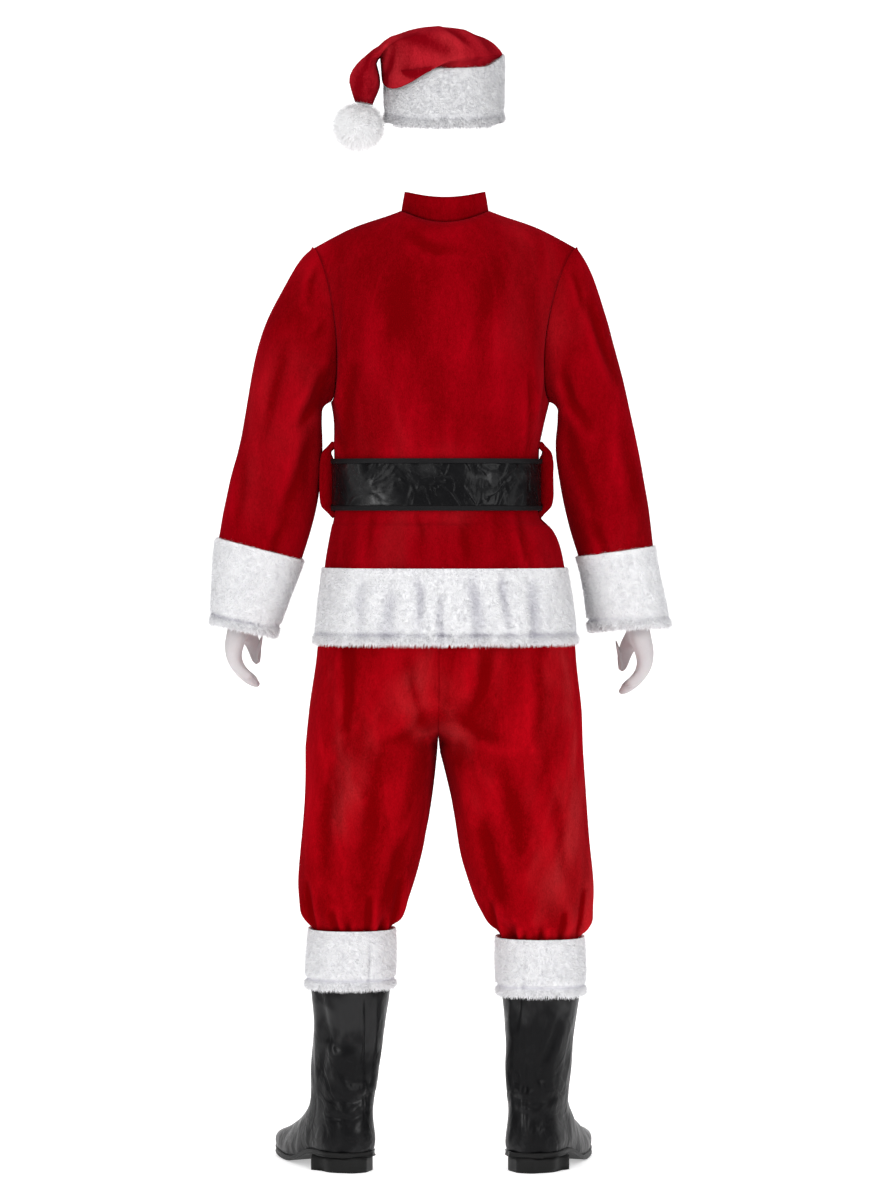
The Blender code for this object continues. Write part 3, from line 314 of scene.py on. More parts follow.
TAPE = plain("binding_tape", (0.003, 0.003, 0.0035, 1), (0.011, 0.011, 0.012, 1), 0.62, 900.0, 0.0004,
             Specular_IOR_Level=0.12)
KNIT = plain("glove_cotton", (0.47, 0.43, 0.44, 1), (0.68, 0.65, 0.66, 1), 0.85, 700.0, 0.0006,
             KNIT_TALL, Sheen_Weight=0.12, Subsurface_Weight=0.05, Subsurface_Scale=0.004)
RUBBER = plain("sole_moulding", (0.004, 0.004, 0.004, 1), (0.013, 0.013, 0.013, 1), 0.50, 260.0, 0.0005,
               Specular_IOR_Level=0.16)
METAL = plain("buckle_brass", (0.56, 0.40, 0.16, 1), (0.78, 0.60, 0.28, 1), 0.30, 500.0, 0.0001,
              Metallic=1.0)
print("finishes:", len(bpy.data.materials))

# %% [markdown]
# ## From solid to cloth
#
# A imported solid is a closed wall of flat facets. To turn it into cloth its loose triangles are
# welded and paired into four-sided faces, its rims are marked sharp, and it is subdivided. Plain
# subdivision would pull every panel inwards and open the seams, so the cage is first pushed out
# until the smooth surface passes through the solid's own corners.

# %% Mark a piece's rims
WELD = 0.00002
RIM_ANGLE = math.radians(52)
SEAM_REACH = 0.0011
SEAT_REACH = 0.0021
CORNER_REACH = 0.0016
SEAT_SEAM = 0.0105
SEAT_NEAR = 0.018


def seam_reach(place, seat):
    """How far a rim reaches into its seam; the seat's seam is closed up further."""
    return SEAT_REACH if seat and abs(place.x - SEAT_SEAM) < SEAT_NEAR else SEAM_REACH


def is_upright(edge):
    span = edge.verts[0].co - edge.verts[1].co
    return abs(span.z) > span.xy.length


def mark_rims(cage, seat, round_sides):
    """Marks the points of the rims, and lets each rim reach into its seam."""
    layer = cage.verts.layers.float.new("rim")
    crease = cage.edges.layers.float.new("crease_edge")
    for edge in cage.edges:
        if edge.calc_face_angle(0.0) > RIM_ANGLE and not (round_sides and is_upright(edge)):
            edge[crease] = 1.0
            for corner in edge.verts:
                corner[layer] = 1.0
    moves = {}
    for corner in cage.verts:
        if corner[layer] == 1.0:
            inner = [edge.other_vert(corner) for edge in corner.link_edges]
            pulls = [(corner.co - other.co).normalized() for other in inner if other[layer] == 0.0]
            if pulls:
                moves[corner] = sum(pulls, Vector()).normalized() * seam_reach(corner.co, seat)
    turns = {}
    for corner in cage.verts:
        if corner[layer] == 1.0 and corner not in moves:
            beside = [moves[other] for other in (edge.other_vert(corner) for edge in corner.link_edges)
                      if other in moves]
            if beside:
                reach = sum(beside, Vector())
                turns[corner] = reach * min(1.0, CORNER_REACH / max(reach.length, WELD))
    for corner, move in (moves | turns).items():
        corner.co += move


# %% Points of a mesh, as tables of numbers
def corners(mesh):
    spots = np.empty(3 * len(mesh.vertices))
    mesh.vertices.foreach_get("co", spots)
    return spots.reshape(-1, 3)


def normals_of(mesh):
    normals = np.empty(3 * len(mesh.vertices))
    mesh.vertices.foreach_get("normal", normals)
    return normals.reshape(-1, 3)


def move_corners(mesh, spots):
    mesh.vertices.foreach_set("co", spots.ravel())
    mesh.update()


def rim_share(mesh):
    """1 at a piece's rims, falling to 0 a row or two inside."""
    share = np.empty(len(mesh.vertices))
    mesh.attributes["rim"].data.foreach_get("value", share)
    return share


def store(mesh, name, values):
    """Keeps one number a point, for a finish or the tufts to read."""
    layer = mesh.attributes.new(name, "FLOAT", "POINT")
    layer.data.foreach_set("value", values)


# %% Smooth cloth from a solid
QUAD_ANGLE = math.radians(70)


def applied(piece):
    """The piece's mesh with its modifiers made real."""
    shape = piece.evaluated_get(bpy.context.evaluated_depsgraph_get())
    return bpy.data.meshes.new_from_object(shape)


def fit_cage(piece, rounds=3):
    """Moves the cage until its smooth surface passes through where its corners were."""
    aim = corners(piece.data)
    cage = aim.copy()
    for _ in range(rounds):
        smooth = applied(piece)
        cage += aim - corners(smooth)[:len(aim)]
        bpy.data.meshes.remove(smooth)
        move_corners(piece.data, cage)


def into_scene(name, data):
    thing = bpy.data.objects.new(name, data)
    bpy.context.scene.collection.objects.link(thing)
    return thing


def smooth_cloth(node, levels, finish, round_sides=False):
    """A welded, smoothed and finished copy of a node's solid."""
    cage = bmesh.new()
    cage.from_mesh(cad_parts[node].data)
    bmesh.ops.remove_doubles(cage, verts=cage.verts, dist=WELD)
    bmesh.ops.join_triangles(cage, faces=cage.faces, angle_face_threshold=QUAD_ANGLE,
                             angle_shape_threshold=math.pi)
    mark_rims(cage, node.startswith("trouser"), round_sides)
    mesh = bpy.data.meshes.new(node + "_cloth")
    cage.to_mesh(mesh)
    cage.free()
    piece = into_scene(node + "_cloth", mesh)
    smoothing = piece.modifiers.new("Smooth", "SUBSURF")
    smoothing.levels = smoothing.render_levels = 1
    fit_cage(piece)
    smoothing.levels = smoothing.render_levels = levels
    piece.data = applied(piece)
    piece.modifiers.clear()
    piece.data.materials.clear()
    piece.data.materials.append(finish)
    piece.data.shade_smooth()
    return piece


# %% [markdown]
# ## Which way is out
#
# Creases must move a wall's two faces together or the cloth would grow thick and thin. So every
# point is pushed straight away from the middle line of the limb it covers, which is the same
# direction on the outer face and the lining.

# %% Middle lines
BODY = [at(0.0, 0.86), at(0.0, 1.36)]
LEG = {"left": [at(0.085, 0.96), at(0.110, 0.70), at(0.156, 0.34)],
       "right": [at(-0.085, 0.96), at(-0.110, 0.70), at(-0.158, 0.34)]}
ARM = {"left": [at(0.205, 1.45), at(0.255, 1.22, -0.005), at(0.315, 0.93, -0.045)],
       "right": [at(-0.200, 1.45), at(-0.243, 1.22, -0.005), at(-0.300, 0.93, -0.045)]}
SHIN = {"left": [at(0.156, 0.42), at(0.160, 0.10), at(0.205, 0.06, -0.10)],
        "right": [at(-0.158, 0.42), at(-0.153, 0.10), at(-0.190, 0.06, -0.10)]}
HAND = {"left": [at(0.360, 0.90, -0.06), at(0.345, 0.80, -0.07)],
        "right": [at(-0.342, 0.89, -0.06), at(-0.328, 0.79, -0.07)]}
HEAD = [at(0.0, 1.74), at(0.0, 1.80), at(0.06, 1.83, 0.02), at(0.128, 1.80, 0.036)]
POMPOM = [at(0.1435, 1.726, 0.036), at(0.1435, 1.729, 0.036)]


NEARLY_ZERO = 1e-6


def nearest_on(line, spots):
    """The place on a middle line that is nearest to each point."""
    best = np.full(len(spots), np.inf)
    nearest = np.zeros_like(spots)
    for start, end in zip(line, line[1:]):
        start = np.array(start)
        stride = np.array(end) - start
        share = np.clip((spots - start) @ stride / (stride @ stride), 0.0, 1.0)
        place = start + share[:, None] * stride
        gap = np.linalg.norm(spots - place, axis=1)
        closer = gap < best
        best[closer] = gap[closer]
        nearest[closer] = place[closer]
    return nearest


def outward(spots, line):
    """The direction from a middle line to each point."""
    away = spots - nearest_on(line, spots)
    return away / np.maximum(np.linalg.norm(away, axis=1), NEARLY_ZERO)[:, None]


print("limbs with a middle line:", 2 * len((LEG, ARM, SHIN, HAND)))


# %% [markdown]
# ## Creases, one by one
#
# A fold in plush is a soft trough with a low ridge beside it, deepest in its middle and running out
# at both ends. Each one is a short line drawn on the back or the front of the suit. The tables
# further down place them one by one, in millimetres, all a little different.

# %% One crease
Crease = namedtuple("Crease", "side path width depth")
BACK, FRONT, ROUND = 1, -1, 0
RIDGE_HEIGHT, RIDGE_AWAY, RIDGE_WIDTH = 0.6, 1.9, 1.1
END_SHARE = 0.04
FACING_SLOPE, FACING_START = 2.2, 0.25


def drawn(rows):
    """Creases from a table: the side, three places across and up, the width and the depth."""
    return [Crease(side, [(x / 1000, height / 1000) for x, height in places], width / 1000, depth / 1000)
            for side, *places, width, depth in rows]


def crease_depth(spots, out, crease):
    """How far each point is pushed out by one crease."""
    flat = spots[:, [0, 2]]
    gap = np.full(len(flat), np.inf)
    offset = np.zeros(len(flat))
    share = np.zeros(len(flat))
    path = [np.array((x, GROUND + height)) for x, height in crease.path]
    for k in range(len(path) - 1):
        stride = path[k + 1] - path[k]
        t = np.clip((flat - path[k]) @ stride / (stride @ stride), 0.0, 1.0)
        away = flat - path[k] - t[:, None] * stride
        size = np.linalg.norm(away, axis=1)
        turn = (stride[0] * away[:, 1] - stride[1] * away[:, 0]) / np.linalg.norm(stride)
        closer = size < gap
        gap[closer] = size[closer]
        offset[closer] = np.copysign(size, turn)[closer]
        share[closer] = (k + t[closer]) / (len(path) - 1)
    trough = np.exp(-(offset / crease.width) ** 2)
    from_ridge = (offset - RIDGE_AWAY * crease.width) / (RIDGE_WIDTH * crease.width)
    ridge = RIDGE_HEIGHT * np.exp(-from_ridge ** 2)
    middle = np.sin(math.pi * (END_SHARE + (1 - 2 * END_SHARE) * share))
    fade = np.sqrt(np.clip(middle, 0.0, 1.0))
    facing = 1.0
    if crease.side != ROUND:
        facing = np.clip(FACING_SLOPE * crease.side * out[:, 1] + FACING_START, 0.0, 1.0)
    return crease.depth * (ridge - trough) * fade * facing


# %% Soft unevenness
BILLOW_TALL = 0.45
SEED_STEP = (3.7, 1.3, 2.1)


def billow(spots, size, height, seed):
    """Soft unevenness of hanging cloth, longer upwards than across."""
    shift = Vector([seed * part for part in SEED_STEP])
    return np.array([height * noise.noise(Vector((x, y, BILLOW_TALL * z)) / size + shift)
                     for x, y, z in spots])


def step(low, high, value):
    """0 up to low, 1 from high on, and a smooth rise between."""
    share = np.clip((value - low) / (high - low), 0.0, 1.0)
    return share * share * (3 - 2 * share)


# %% [markdown]
# ## Where the cloth is fuller or held
#
# A few places need more than creases. The trousers hang nearly straight over the parting of the
# legs, and the cloth there is painted darker as shade. The shoulders are full, the belt stands out
# at the sides, and under the belt the jacket is pressed flat.

# %% The parting of the trouser legs
FORK = at(0.0105, 0.722)
FORK_REACH, FORK_SHADE = 0.062, 0.6
FORK_RISE, FORK_TALL, FORK_WIDE, FORK_FILL = 0.020, 0.034, 0.055, 0.024
FORK_CLEAR = (0.040, 0.070)


def fork_shade(piece, spots):
    """How much painted shade the trouser cloth takes where the legs part."""
    if not piece.name.startswith("trouser"):
        return 0.0
    away = np.hypot(spots[:, 0] - FORK[0], spots[:, 2] - FORK[2])
    return FORK_SHADE * np.exp(-(away / FORK_REACH) ** 2)


def fill_fork(piece):
    """The cloth hangs nearly straight over the parting of the legs, instead of tucking under."""
    spots = corners(piece.data)
    across = np.exp(-((spots[:, 0] - FORK[0]) / FORK_WIDE) ** 2)
    high = np.exp(-((spots[:, 2] - FORK[2] - FORK_RISE) / FORK_TALL) ** 2)
    outside = step(*FORK_CLEAR, np.abs(spots[:, 1]))
    spots[:, 1] += np.sign(spots[:, 1]) * FORK_FILL * across * high * outside
    move_corners(piece.data, spots)


# %% Shoulders and belt
SHOULDER_LIFT = 0.0080
SHOULDER_FROM, SHOULDER_TO, SHOULDER_TOP = (0.075, 0.170), (0.240, 0.330), (1.400, 1.500)
BELOW_HAT = 1.62
BELT_LOW, BELT_HIGH, BELT_EASE, BELT_PRESS = 1.094, 1.176, 0.030, 0.0016
STRAP_FULL, STRAP_SIDES = 0.0022, (0.090, 0.140)


def shaped(spots):
    """Fuller shoulders: jacket and sleeves rise together towards the shoulder points."""
    across = np.abs(spots[:, 0])
    height = spots[:, 2] - GROUND
    rise = step(*SHOULDER_FROM, across) * (1 - step(*SHOULDER_TO, across)) * step(*SHOULDER_TOP, height)
    raised = spots.copy()
    raised[:, 2] += SHOULDER_LIFT * rise * (height < BELOW_HAT)
    return raised


def under_belt(spots):
    """1 where the belt holds the cloth down, falling to 0 just above and below it."""
    height = spots[:, 2] - GROUND
    return step(-BELT_EASE, 0.0, np.minimum(height - BELT_LOW, BELT_HIGH - height))


def full_sides(spots, out):
    """The belt stands a little fuller at the wearer's sides."""
    return out * (STRAP_FULL * step(*STRAP_SIDES, np.abs(spots[:, 0])))[:, None]


# %% Drape a piece
SEAM_SINK, SINK_POWER = 0.0005, 3
SEAM_SHADE, SHADE_POWER = 0.4, 14
FOLD_UNIT, FOLD_MOST = 0.0027, 1.4
FINER, LOWER, OTHER_SEED = 2.7, 3, 5
RIM_FADE = (1.0, 0.4)


def away_from_rims(rims, cut, full):
    """0 at the rims and 1 inside the piece, where cut and full are places on the rim's own scale."""
    return np.clip((cut - rims) / (cut - full), 0.0, 1.0)


def drape(piece, line, creases, soft, seed, held, fade):
    """Presses the creases and the soft unevenness into a piece of cloth."""
    spots = corners(piece.data)
    out = outward(spots, line)
    size, height = soft
    push = billow(spots, size, height, seed) + billow(spots, size / FINER, height / LOWER, seed + OTHER_SEED)
    for crease in creases:
        push += crease_depth(spots, out, crease)
    rims = rim_share(piece.data)
    # Painted shade: the seams and the parting of the legs are stored darker for the finish.
    seam_and_fork_shade = SEAM_SHADE * rims ** SHADE_POWER + fork_shade(piece, spots)
    store(piece.data, "fold_shading", np.clip(push / FOLD_UNIT, -FOLD_MOST, FOLD_MOST) - seam_and_fork_shade)
    if held:
        press = under_belt(spots)
        push = push * (1 - press) - BELT_PRESS * press
    seat = piece.name.startswith("trouser") * (np.abs(spots[:, 0] - SEAT_SEAM) < SEAT_NEAR)
    push = push * away_from_rims(rims, *fade) - SEAM_SINK * rims ** SINK_POWER * (1 - seat)
    if piece.name.startswith("belt"):
        spots = spots + full_sides(spots, out)
    move_corners(piece.data, shaped(spots + out * push[:, None]))


# %% Creases of the jacket
JACKET_CREASES = drawn([
    (BACK, (-139, 1315), (-141, 1250), (-137, 1190), 5, 3),
    (BACK, (-168, 1318), (-163, 1275), (-157, 1236), 4.5, 3.2),
    (BACK, (186, 1262), (176, 1220), (165, 1182), 6, 4),
    (BACK, (150, 1330), (160, 1270), (158, 1205), 8.5, 2.6),
    (BACK, (60, 1545), (20, 1520), (-30, 1518), 9, 2),
    (BACK, (-90, 1505), (-60, 1400), (-65, 1300), 16, 1.8),
    (BACK, (75, 1470), (90, 1380), (80, 1290), 18, 1.8),
    (BACK, (50, 1240), (46, 1205), (50, 1180), 7, 1.8),
    (BACK, (-20, 1250), (-22, 1210), (-16, 1180), 8, 1.6),
    (BACK, (-122, 1092), (-128, 1045), (-142, 995), 6.5, 3.6),
    (BACK, (118, 1090), (124, 1050), (122, 1005), 7, 2.4),
    (BACK, (45, 1092), (40, 1060), (44, 1020), 6, 2.2),
    (BACK, (-35, 1092), (-30, 1050), (-36, 1010), 7.5, 2.2),
    (BACK, (-80, 1092), (-86, 1062), (-84, 1030), 5, 1.8),
    (FRONT, (150, 1330), (146, 1270), (132, 1195), 7, 3.4),
    (FRONT, (-148, 1325), (-140, 1265), (-126, 1192), 6.5, 3.4),
    (FRONT, (120, 1480), (95, 1400), (90, 1330), 15, 2),
    (FRONT, (-115, 1470), (-98, 1395), (-94, 1320), 16, 2),
    (FRONT, (60, 1250), (64, 1210), (60, 1180), 6, 1.8),
    (FRONT, (-70, 1255), (-66, 1210), (-70, 1180), 6.5, 1.8),
    (FRONT, (95, 1090), (100, 1050), (112, 1000), 6.5, 3),
    (FRONT, (-100, 1090), (-108, 1045), (-120, 1000), 6.5, 3.2),
])
SLEEVE_CREASES = {
    "left": drawn([
        (BACK, (212, 1490), (222, 1460), (224, 1432), 5, 3),
        (BACK, (200, 1402), (206, 1388), (216, 1376), 5, 2.2),
        (BACK, (196, 1320), (215, 1270), (240, 1230), 9, 4.2),
        (BACK, (262, 1360), (282, 1290), (296, 1215), 12, 3),
        (BACK, (218, 1225), (240, 1150), (268, 1080), 10, 3.4),
        (BACK, (330, 1180), (335, 1120), (348, 1060), 9, 2.4),
        (BACK, (262, 1080), (280, 1040), (288, 1005), 8, 2.6),
        (FRONT, (200, 1330), (228, 1280), (262, 1245), 9, 4.8),
        (FRONT, (215, 1260), (245, 1225), (285, 1205), 8, 4.5),
        (FRONT, (230, 1190), (262, 1165), (300, 1160), 8, 3.6),
        (FRONT, (300, 1140), (310, 1080), (330, 1030), 9, 2.6)]),
    "right": drawn([
        (BACK, (-237, 1436), (-259, 1365), (-281, 1307), 7.5, 4),
        (BACK, (-195, 1320), (-210, 1270), (-236, 1232), 8.5, 4),
        (BACK, (-212, 1478), (-222, 1450), (-226, 1425), 5, 2.6),
        (BACK, (-200, 1240), (-218, 1170), (-245, 1100), 10, 3.4),
        (BACK, (-290, 1230), (-308, 1160), (-316, 1100), 11, 2.6),
        (BACK, (-244, 1075), (-262, 1035), (-272, 1000), 8, 2.8),
        (FRONT, (-196, 1325), (-222, 1278), (-255, 1240), 9, 4.8),
        (FRONT, (-208, 1255), (-236, 1222), (-270, 1200), 8, 4.4),
        (FRONT, (-224, 1185), (-255, 1160), (-290, 1150), 8, 3.6),
        (FRONT, (-290, 1135), (-300, 1080), (-318, 1030), 9, 2.6)]),
}

# %% Creases of the trousers
LEG_CREASES = {
    "left": drawn([
        (BACK, (160, 872), (158, 800), (162, 735), 8, 4),
        (BACK, (30, 760), (62, 725), (100, 712), 9.5, 2),
        (BACK, (60, 860), (52, 800), (34, 745), 12, 2.6),
        (BACK, (110, 690), (118, 600), (132, 520), 16, 3),
        (BACK, (190, 640), (196, 560), (200, 500), 12, 2.6),
        (BACK, (70, 560), (84, 500), (94, 450), 10, 3),
        (FRONT, (20, 745), (55, 720), (98, 716), 8.5, 4),
        (FRONT, (24, 720), (50, 685), (78, 664), 8, 3.4),
        (FRONT, (120, 620), (130, 560), (150, 500), 14, 3.2),
        (FRONT, (180, 560), (186, 510), (182, 455), 10, 3.2)]),
    "right": drawn([
        (BACK, (-22, 760), (-56, 728), (-96, 716), 9.5, 2.4),
        (BACK, (-70, 865), (-60, 805), (-36, 748), 12, 2.8),
        (BACK, (-150, 850), (-158, 780), (-152, 720), 11, 2.4),
        (BACK, (-100, 680), (-112, 600), (-130, 515), 15, 3.4),
        (BACK, (-180, 630), (-190, 560), (-196, 490), 12, 2.8),
        (BACK, (-62, 575), (-76, 510), (-92, 455), 10, 3.2),
        (FRONT, (-18, 745), (-52, 722), (-96, 720), 8.5, 4),
        (FRONT, (-20, 720), (-46, 688), (-72, 668), 8, 3.4),
        (FRONT, (-118, 630), (-128, 560), (-148, 505), 14, 3.2),
        (FRONT, (-176, 560), (-184, 510), (-180, 455), 10, 3.2)]),
}

# %% Gathers above the boot tops
Gather = namedtuple("Gather", "side x lean low high depth")
GATHERS = {
    "left": [
        (BACK, 214, 14, 392, 478, 4.6), (BACK, 176, 10, 392, 432, 5),
        (BACK, 161, -2, 392, 416, 3.4), (BACK, 128, -4, 392, 456, 6),
        (BACK, 113, -12, 390, 420, 3.8), (BACK, 92, -20, 390, 486, 5),
        (FRONT, 196, 8, 388, 450, 4.8), (FRONT, 170, 3, 390, 436, 4),
        (FRONT, 148, -3, 390, 466, 5.4), (FRONT, 122, -8, 388, 440, 4.4)],
    "right": [
        (BACK, -92, 18, 376, 446, 4.8), (BACK, -117, 6, 376, 410, 5.8),
        (BACK, -130, 0, 378, 398, 3.4), (BACK, -157, -2, 376, 408, 4.4),
        (BACK, -188, -10, 376, 430, 5.8), (BACK, -217, -14, 376, 466, 4.6),
        (FRONT, -198, -8, 376, 440, 4.8), (FRONT, -176, -4, 378, 426, 3.8),
        (FRONT, -150, 2, 378, 454, 5.4), (FRONT, -124, 7, 376, 430, 4.4)],
}
GATHER_WIDTH, LEAST_WIDTH, FULL_DEPTH = 0.0046, 0.7, 0.012
GATHER_BEND = 0.6
for side, rows in GATHERS.items():
    for face, *sizes in rows:
        row = Gather(face, *(size / 1000 for size in sizes))
        middle = (row.x + row.lean * GATHER_BEND, (row.low + row.high) / 2)
        width = GATHER_WIDTH * (LEAST_WIDTH + row.depth / FULL_DEPTH)
        path = [(row.x, row.low), middle, (row.x + row.lean, row.high)]
        LEG_CREASES[side].append(Crease(row.side, path, width, row.depth))

# %% Creases of the hat, belt and boots
HAT_CREASES = drawn([
    (BACK, (82, 1858), (96, 1830), (106, 1792), 6, 4.8),
    (BACK, (0, 1886), (-22, 1872), (-40, 1856), 6, 4.2),
    (BACK, (-44, 1884), (-64, 1868), (-80, 1846), 7, 3),
    (BACK, (122, 1846), (136, 1812), (142, 1780), 6.5, 3.6),
    (BACK, (70, 1872), (30, 1862), (-10, 1846), 9, 2.8),
    (BACK, (78, 1836), (50, 1826), (16, 1828), 7, 2.6),
    (FRONT, (80, 1856), (50, 1846), (10, 1850), 8, 3.4),
    (FRONT, (100, 1846), (118, 1820), (128, 1790), 6.5, 3.6),
    (FRONT, (-20, 1880), (-50, 1864), (-70, 1842), 7.5, 3.2),
])
BELT_CREASES = drawn([
    (BACK, (155, 1116), (112, 1130), (104, 1162), 6.5, 3),
    (BACK, (22, 1160), (-3, 1146), (-30, 1156), 6, 2.2),
    (BACK, (-30, 1108), (-100, 1118), (-148, 1142), 7, 2.8),
    (BACK, (88, 1110), (60, 1122), (36, 1130), 5.5, 2),
    (BACK, (70, 1158), (60, 1142), (66, 1124), 5, 1.6),
    (BACK, (-70, 1160), (-92, 1146), (-120, 1150), 5.5, 2),
    (FRONT, (80, 1158), (100, 1136), (96, 1112), 6.5, 2.4),
    (FRONT, (-76, 1112), (-104, 1132), (-100, 1158), 6.5, 2.4),
])
BOOT_CREASES = {
    "left": drawn([
        (ROUND, (124, 128), (152, 116), (190, 122), 6, 3),
        (BACK, (131, 306), (129, 180), (131, 66), 2.8, 2.4),
        (BACK, (196, 230), (176, 206), (150, 212), 7.5, 4.6),
        (BACK, (206, 300), (196, 235), (202, 170), 7, 4.4),
        (BACK, (128, 300), (126, 235), (134, 165), 6.5, 5),
        (BACK, (170, 170), (150, 150), (128, 156), 7, 3.6),
        (BACK, (136, 98), (156, 86), (182, 92), 6, 3.4),
        (FRONT, (140, 280), (150, 220), (160, 160), 9, 3.6),
        (FRONT, (190, 270), (180, 200), (186, 150), 8, 3.4)]),
    "right": drawn([
        (ROUND, (-118, 124), (-148, 114), (-186, 126), 6, 3),
        (BACK, (-108, 318), (-122, 285), (-118, 240), 6, 5),
        (BACK, (-133, 300), (-130, 200), (-132, 66), 2.8, 2.8),
        (BACK, (-196, 270), (-176, 214), (-158, 180), 7, 5.2),
        (BACK, (-158, 180), (-160, 160), (-172, 148), 7, 3.4),
        (BACK, (-118, 150), (-134, 140), (-146, 146), 6, 3),
        (FRONT, (-140, 280), (-150, 220), (-158, 160), 9, 3.6),
        (FRONT, (-188, 268), (-178, 204), (-184, 150), 8, 3.4)]),
}
paired = [table for both in (SLEEVE_CREASES, LEG_CREASES, BOOT_CREASES) for table in both.values()]
print("creases:", sum(len(table) for table in [JACKET_CREASES, HAT_CREASES, BELT_CREASES] + paired))

# %% [markdown]
# ## The pieces of cloth
#
# Each row of this table is one solid to be dressed: its finish, how finely it is divided, the middle
# line it hangs round and its creases. Neighbours share their unevenness and its seed, so the seams
# between them stay as narrow as the solids have them.

# %% The pieces, one row each
Cloth = namedtuple("Cloth", "node finish levels line creases soft held fade", defaults=(False, RIM_FADE))
SOFT_PLUSH, SOFT_LEG = (0.075, 0.0022), (0.080, 0.0028)
CLOTHS = [
    Cloth("jacket_back", RED, 2, BODY, JACKET_CREASES, SOFT_PLUSH, True),
    Cloth("jacket_front_left", RED, 2, BODY, JACKET_CREASES, SOFT_PLUSH, True),
    Cloth("jacket_front_right", RED, 2, BODY, JACKET_CREASES, SOFT_PLUSH, True),
    Cloth("collar", RED, 2, BODY, (), (0.05, 0.0006)),
    Cloth("hat_crown", RED_HAT, 2, HEAD, HAT_CREASES, (0.05, 0.0018)),
]
for side in ("left", "right"):
    CLOTHS += [
        Cloth("sleeve_" + side, RED, 3, ARM[side], SLEEVE_CREASES[side], SOFT_PLUSH),
        Cloth("trouser_front_" + side, RED_LEG, 2, LEG[side], LEG_CREASES[side], SOFT_LEG),
        Cloth("trouser_back_" + side, RED_LEG, 3, LEG[side], LEG_CREASES[side], SOFT_LEG),
        Cloth("boot_" + side, BOOT_BLACK, 3, SHIN[side], BOOT_CREASES[side], (0.040, 0.0018)),
        Cloth("glove_" + side, KNIT, 2, HAND[side], (), (0.02, 0.0003)),
    ]
CLOTHS.append(Cloth("belt_strap", BELT_BLACK, 3, BODY, BELT_CREASES, (0.042, 0.0026), fade=(0.80, 0.60)))
print("pieces in the table:", len(CLOTHS))

# %% The crown's slack and tail
LOBE_DROP = 0.021
LOBE_ACROSS, LOBE_END, LOBE_FORE, LOBE_TOP = (-0.045, 0.060), (0.104, 0.122), (0.010, 0.050), (1.835, 1.868)
BAND_HALF, BAND_DEEP, BAND_PAST = 0.0995, 0.118, (0.95, 1.02)
TAIL = [at(0.122, 1.840, 0.036), at(0.127, 1.800, 0.036), at(0.132, 1.750, 0.036)]
TAIL_FULL, TAIL_ACROSS, TAIL_TOP = 0.0055, (0.104, 0.114), (1.800, 1.840)


def hang_lobe(piece):
    """The crown's slack hangs lower over the band towards the wearer's left."""
    spots = corners(piece.data)
    across, fore, height = spots[:, 0], spots[:, 1], spots[:, 2] - GROUND
    beyond = step(*BAND_PAST, np.hypot(across / BAND_HALF, fore / BAND_DEEP))
    share = step(*LOBE_ACROSS, across) * (1 - step(*LOBE_END, across)) * step(*LOBE_FORE, fore)
    spots[:, 2] -= LOBE_DROP * share * beyond * (1 - step(*LOBE_TOP, height))
    move_corners(piece.data, spots)


def fill_tail(piece):
    """The crown's tail hangs full down to the pompom."""
    spots = corners(piece.data)
    share = step(*TAIL_ACROSS, spots[:, 0]) * (1 - step(*TAIL_TOP, spots[:, 2] - GROUND))
    spots += outward(spots, TAIL) * (TAIL_FULL * share)[:, None] * (1.0, 1.0, 0.0)
    move_corners(piece.data, spots)


# %% Dress the pieces
SHARED_SEED = {"belt": 3.0, "jacket": 1.0}
OWN_SEED = 2.0
pieces = {}
for cloth in CLOTHS:
    piece = smooth_cloth(cloth.node, cloth.levels, cloth.finish)
    seed = SHARED_SEED.get(cloth.node.split("_")[0], OWN_SEED)
    drape(piece, cloth.line, cloth.creases, cloth.soft, seed, cloth.held, cloth.fade)
    if cloth.node == "hat_crown":
        hang_lobe(piece)
        fill_tail(piece)
    if cloth.finish is RED_LEG:
        fill_fork(piece)
    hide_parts(cloth.node)
    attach(piece, "root")
    pieces[cloth.node] = piece
print("dressed:", len(pieces), "pieces,", sum(len(p.data.polygons) for p in pieces.values()), "faces")

# %% [markdown]
# ## Belt loops, bindings, soles and heels
#
# These pieces have no creases. They only swell a little from their solids, and the belt loops, which
# are soft folded strips, lean on the belt and turn in at their ends.

# %% The shape of a belt loop
LOOP_MIDDLE, LOOP_HALF, LOOP_TUCK, LOOP_FILL = 1.1435, 0.0605, 0.0062, 0.0085
LOOP_OPEN, LOOP_ENDS = (0.55, 0.80), (0.72, 1.0)
INNER_FACE = 1.6


def from_loop_middle(spots):
    """0 at a loop's middle height and 1 at its ends."""
    return np.abs(spots[:, 2] - GROUND - LOOP_MIDDLE) / LOOP_HALF


def fill_loop(spots, normals):
    """A loop is a soft folded strip, so its inner face leans against the belt."""
    side = np.sign(spots[:, 0])
    inner = np.clip(-normals[:, 0] * side * INNER_FACE, 0.0, 1.0)
    spots[:, 0] -= side * LOOP_FILL * inner * (1 - step(*LOOP_OPEN, from_loop_middle(spots)))


def tuck_ends(spots):
    """A loop's two ends turn in and are sewn to the jacket's side."""
    spots[:, 0] -= np.sign(spots[:, 0]) * LOOP_TUCK * step(*LOOP_ENDS, from_loop_middle(spots))


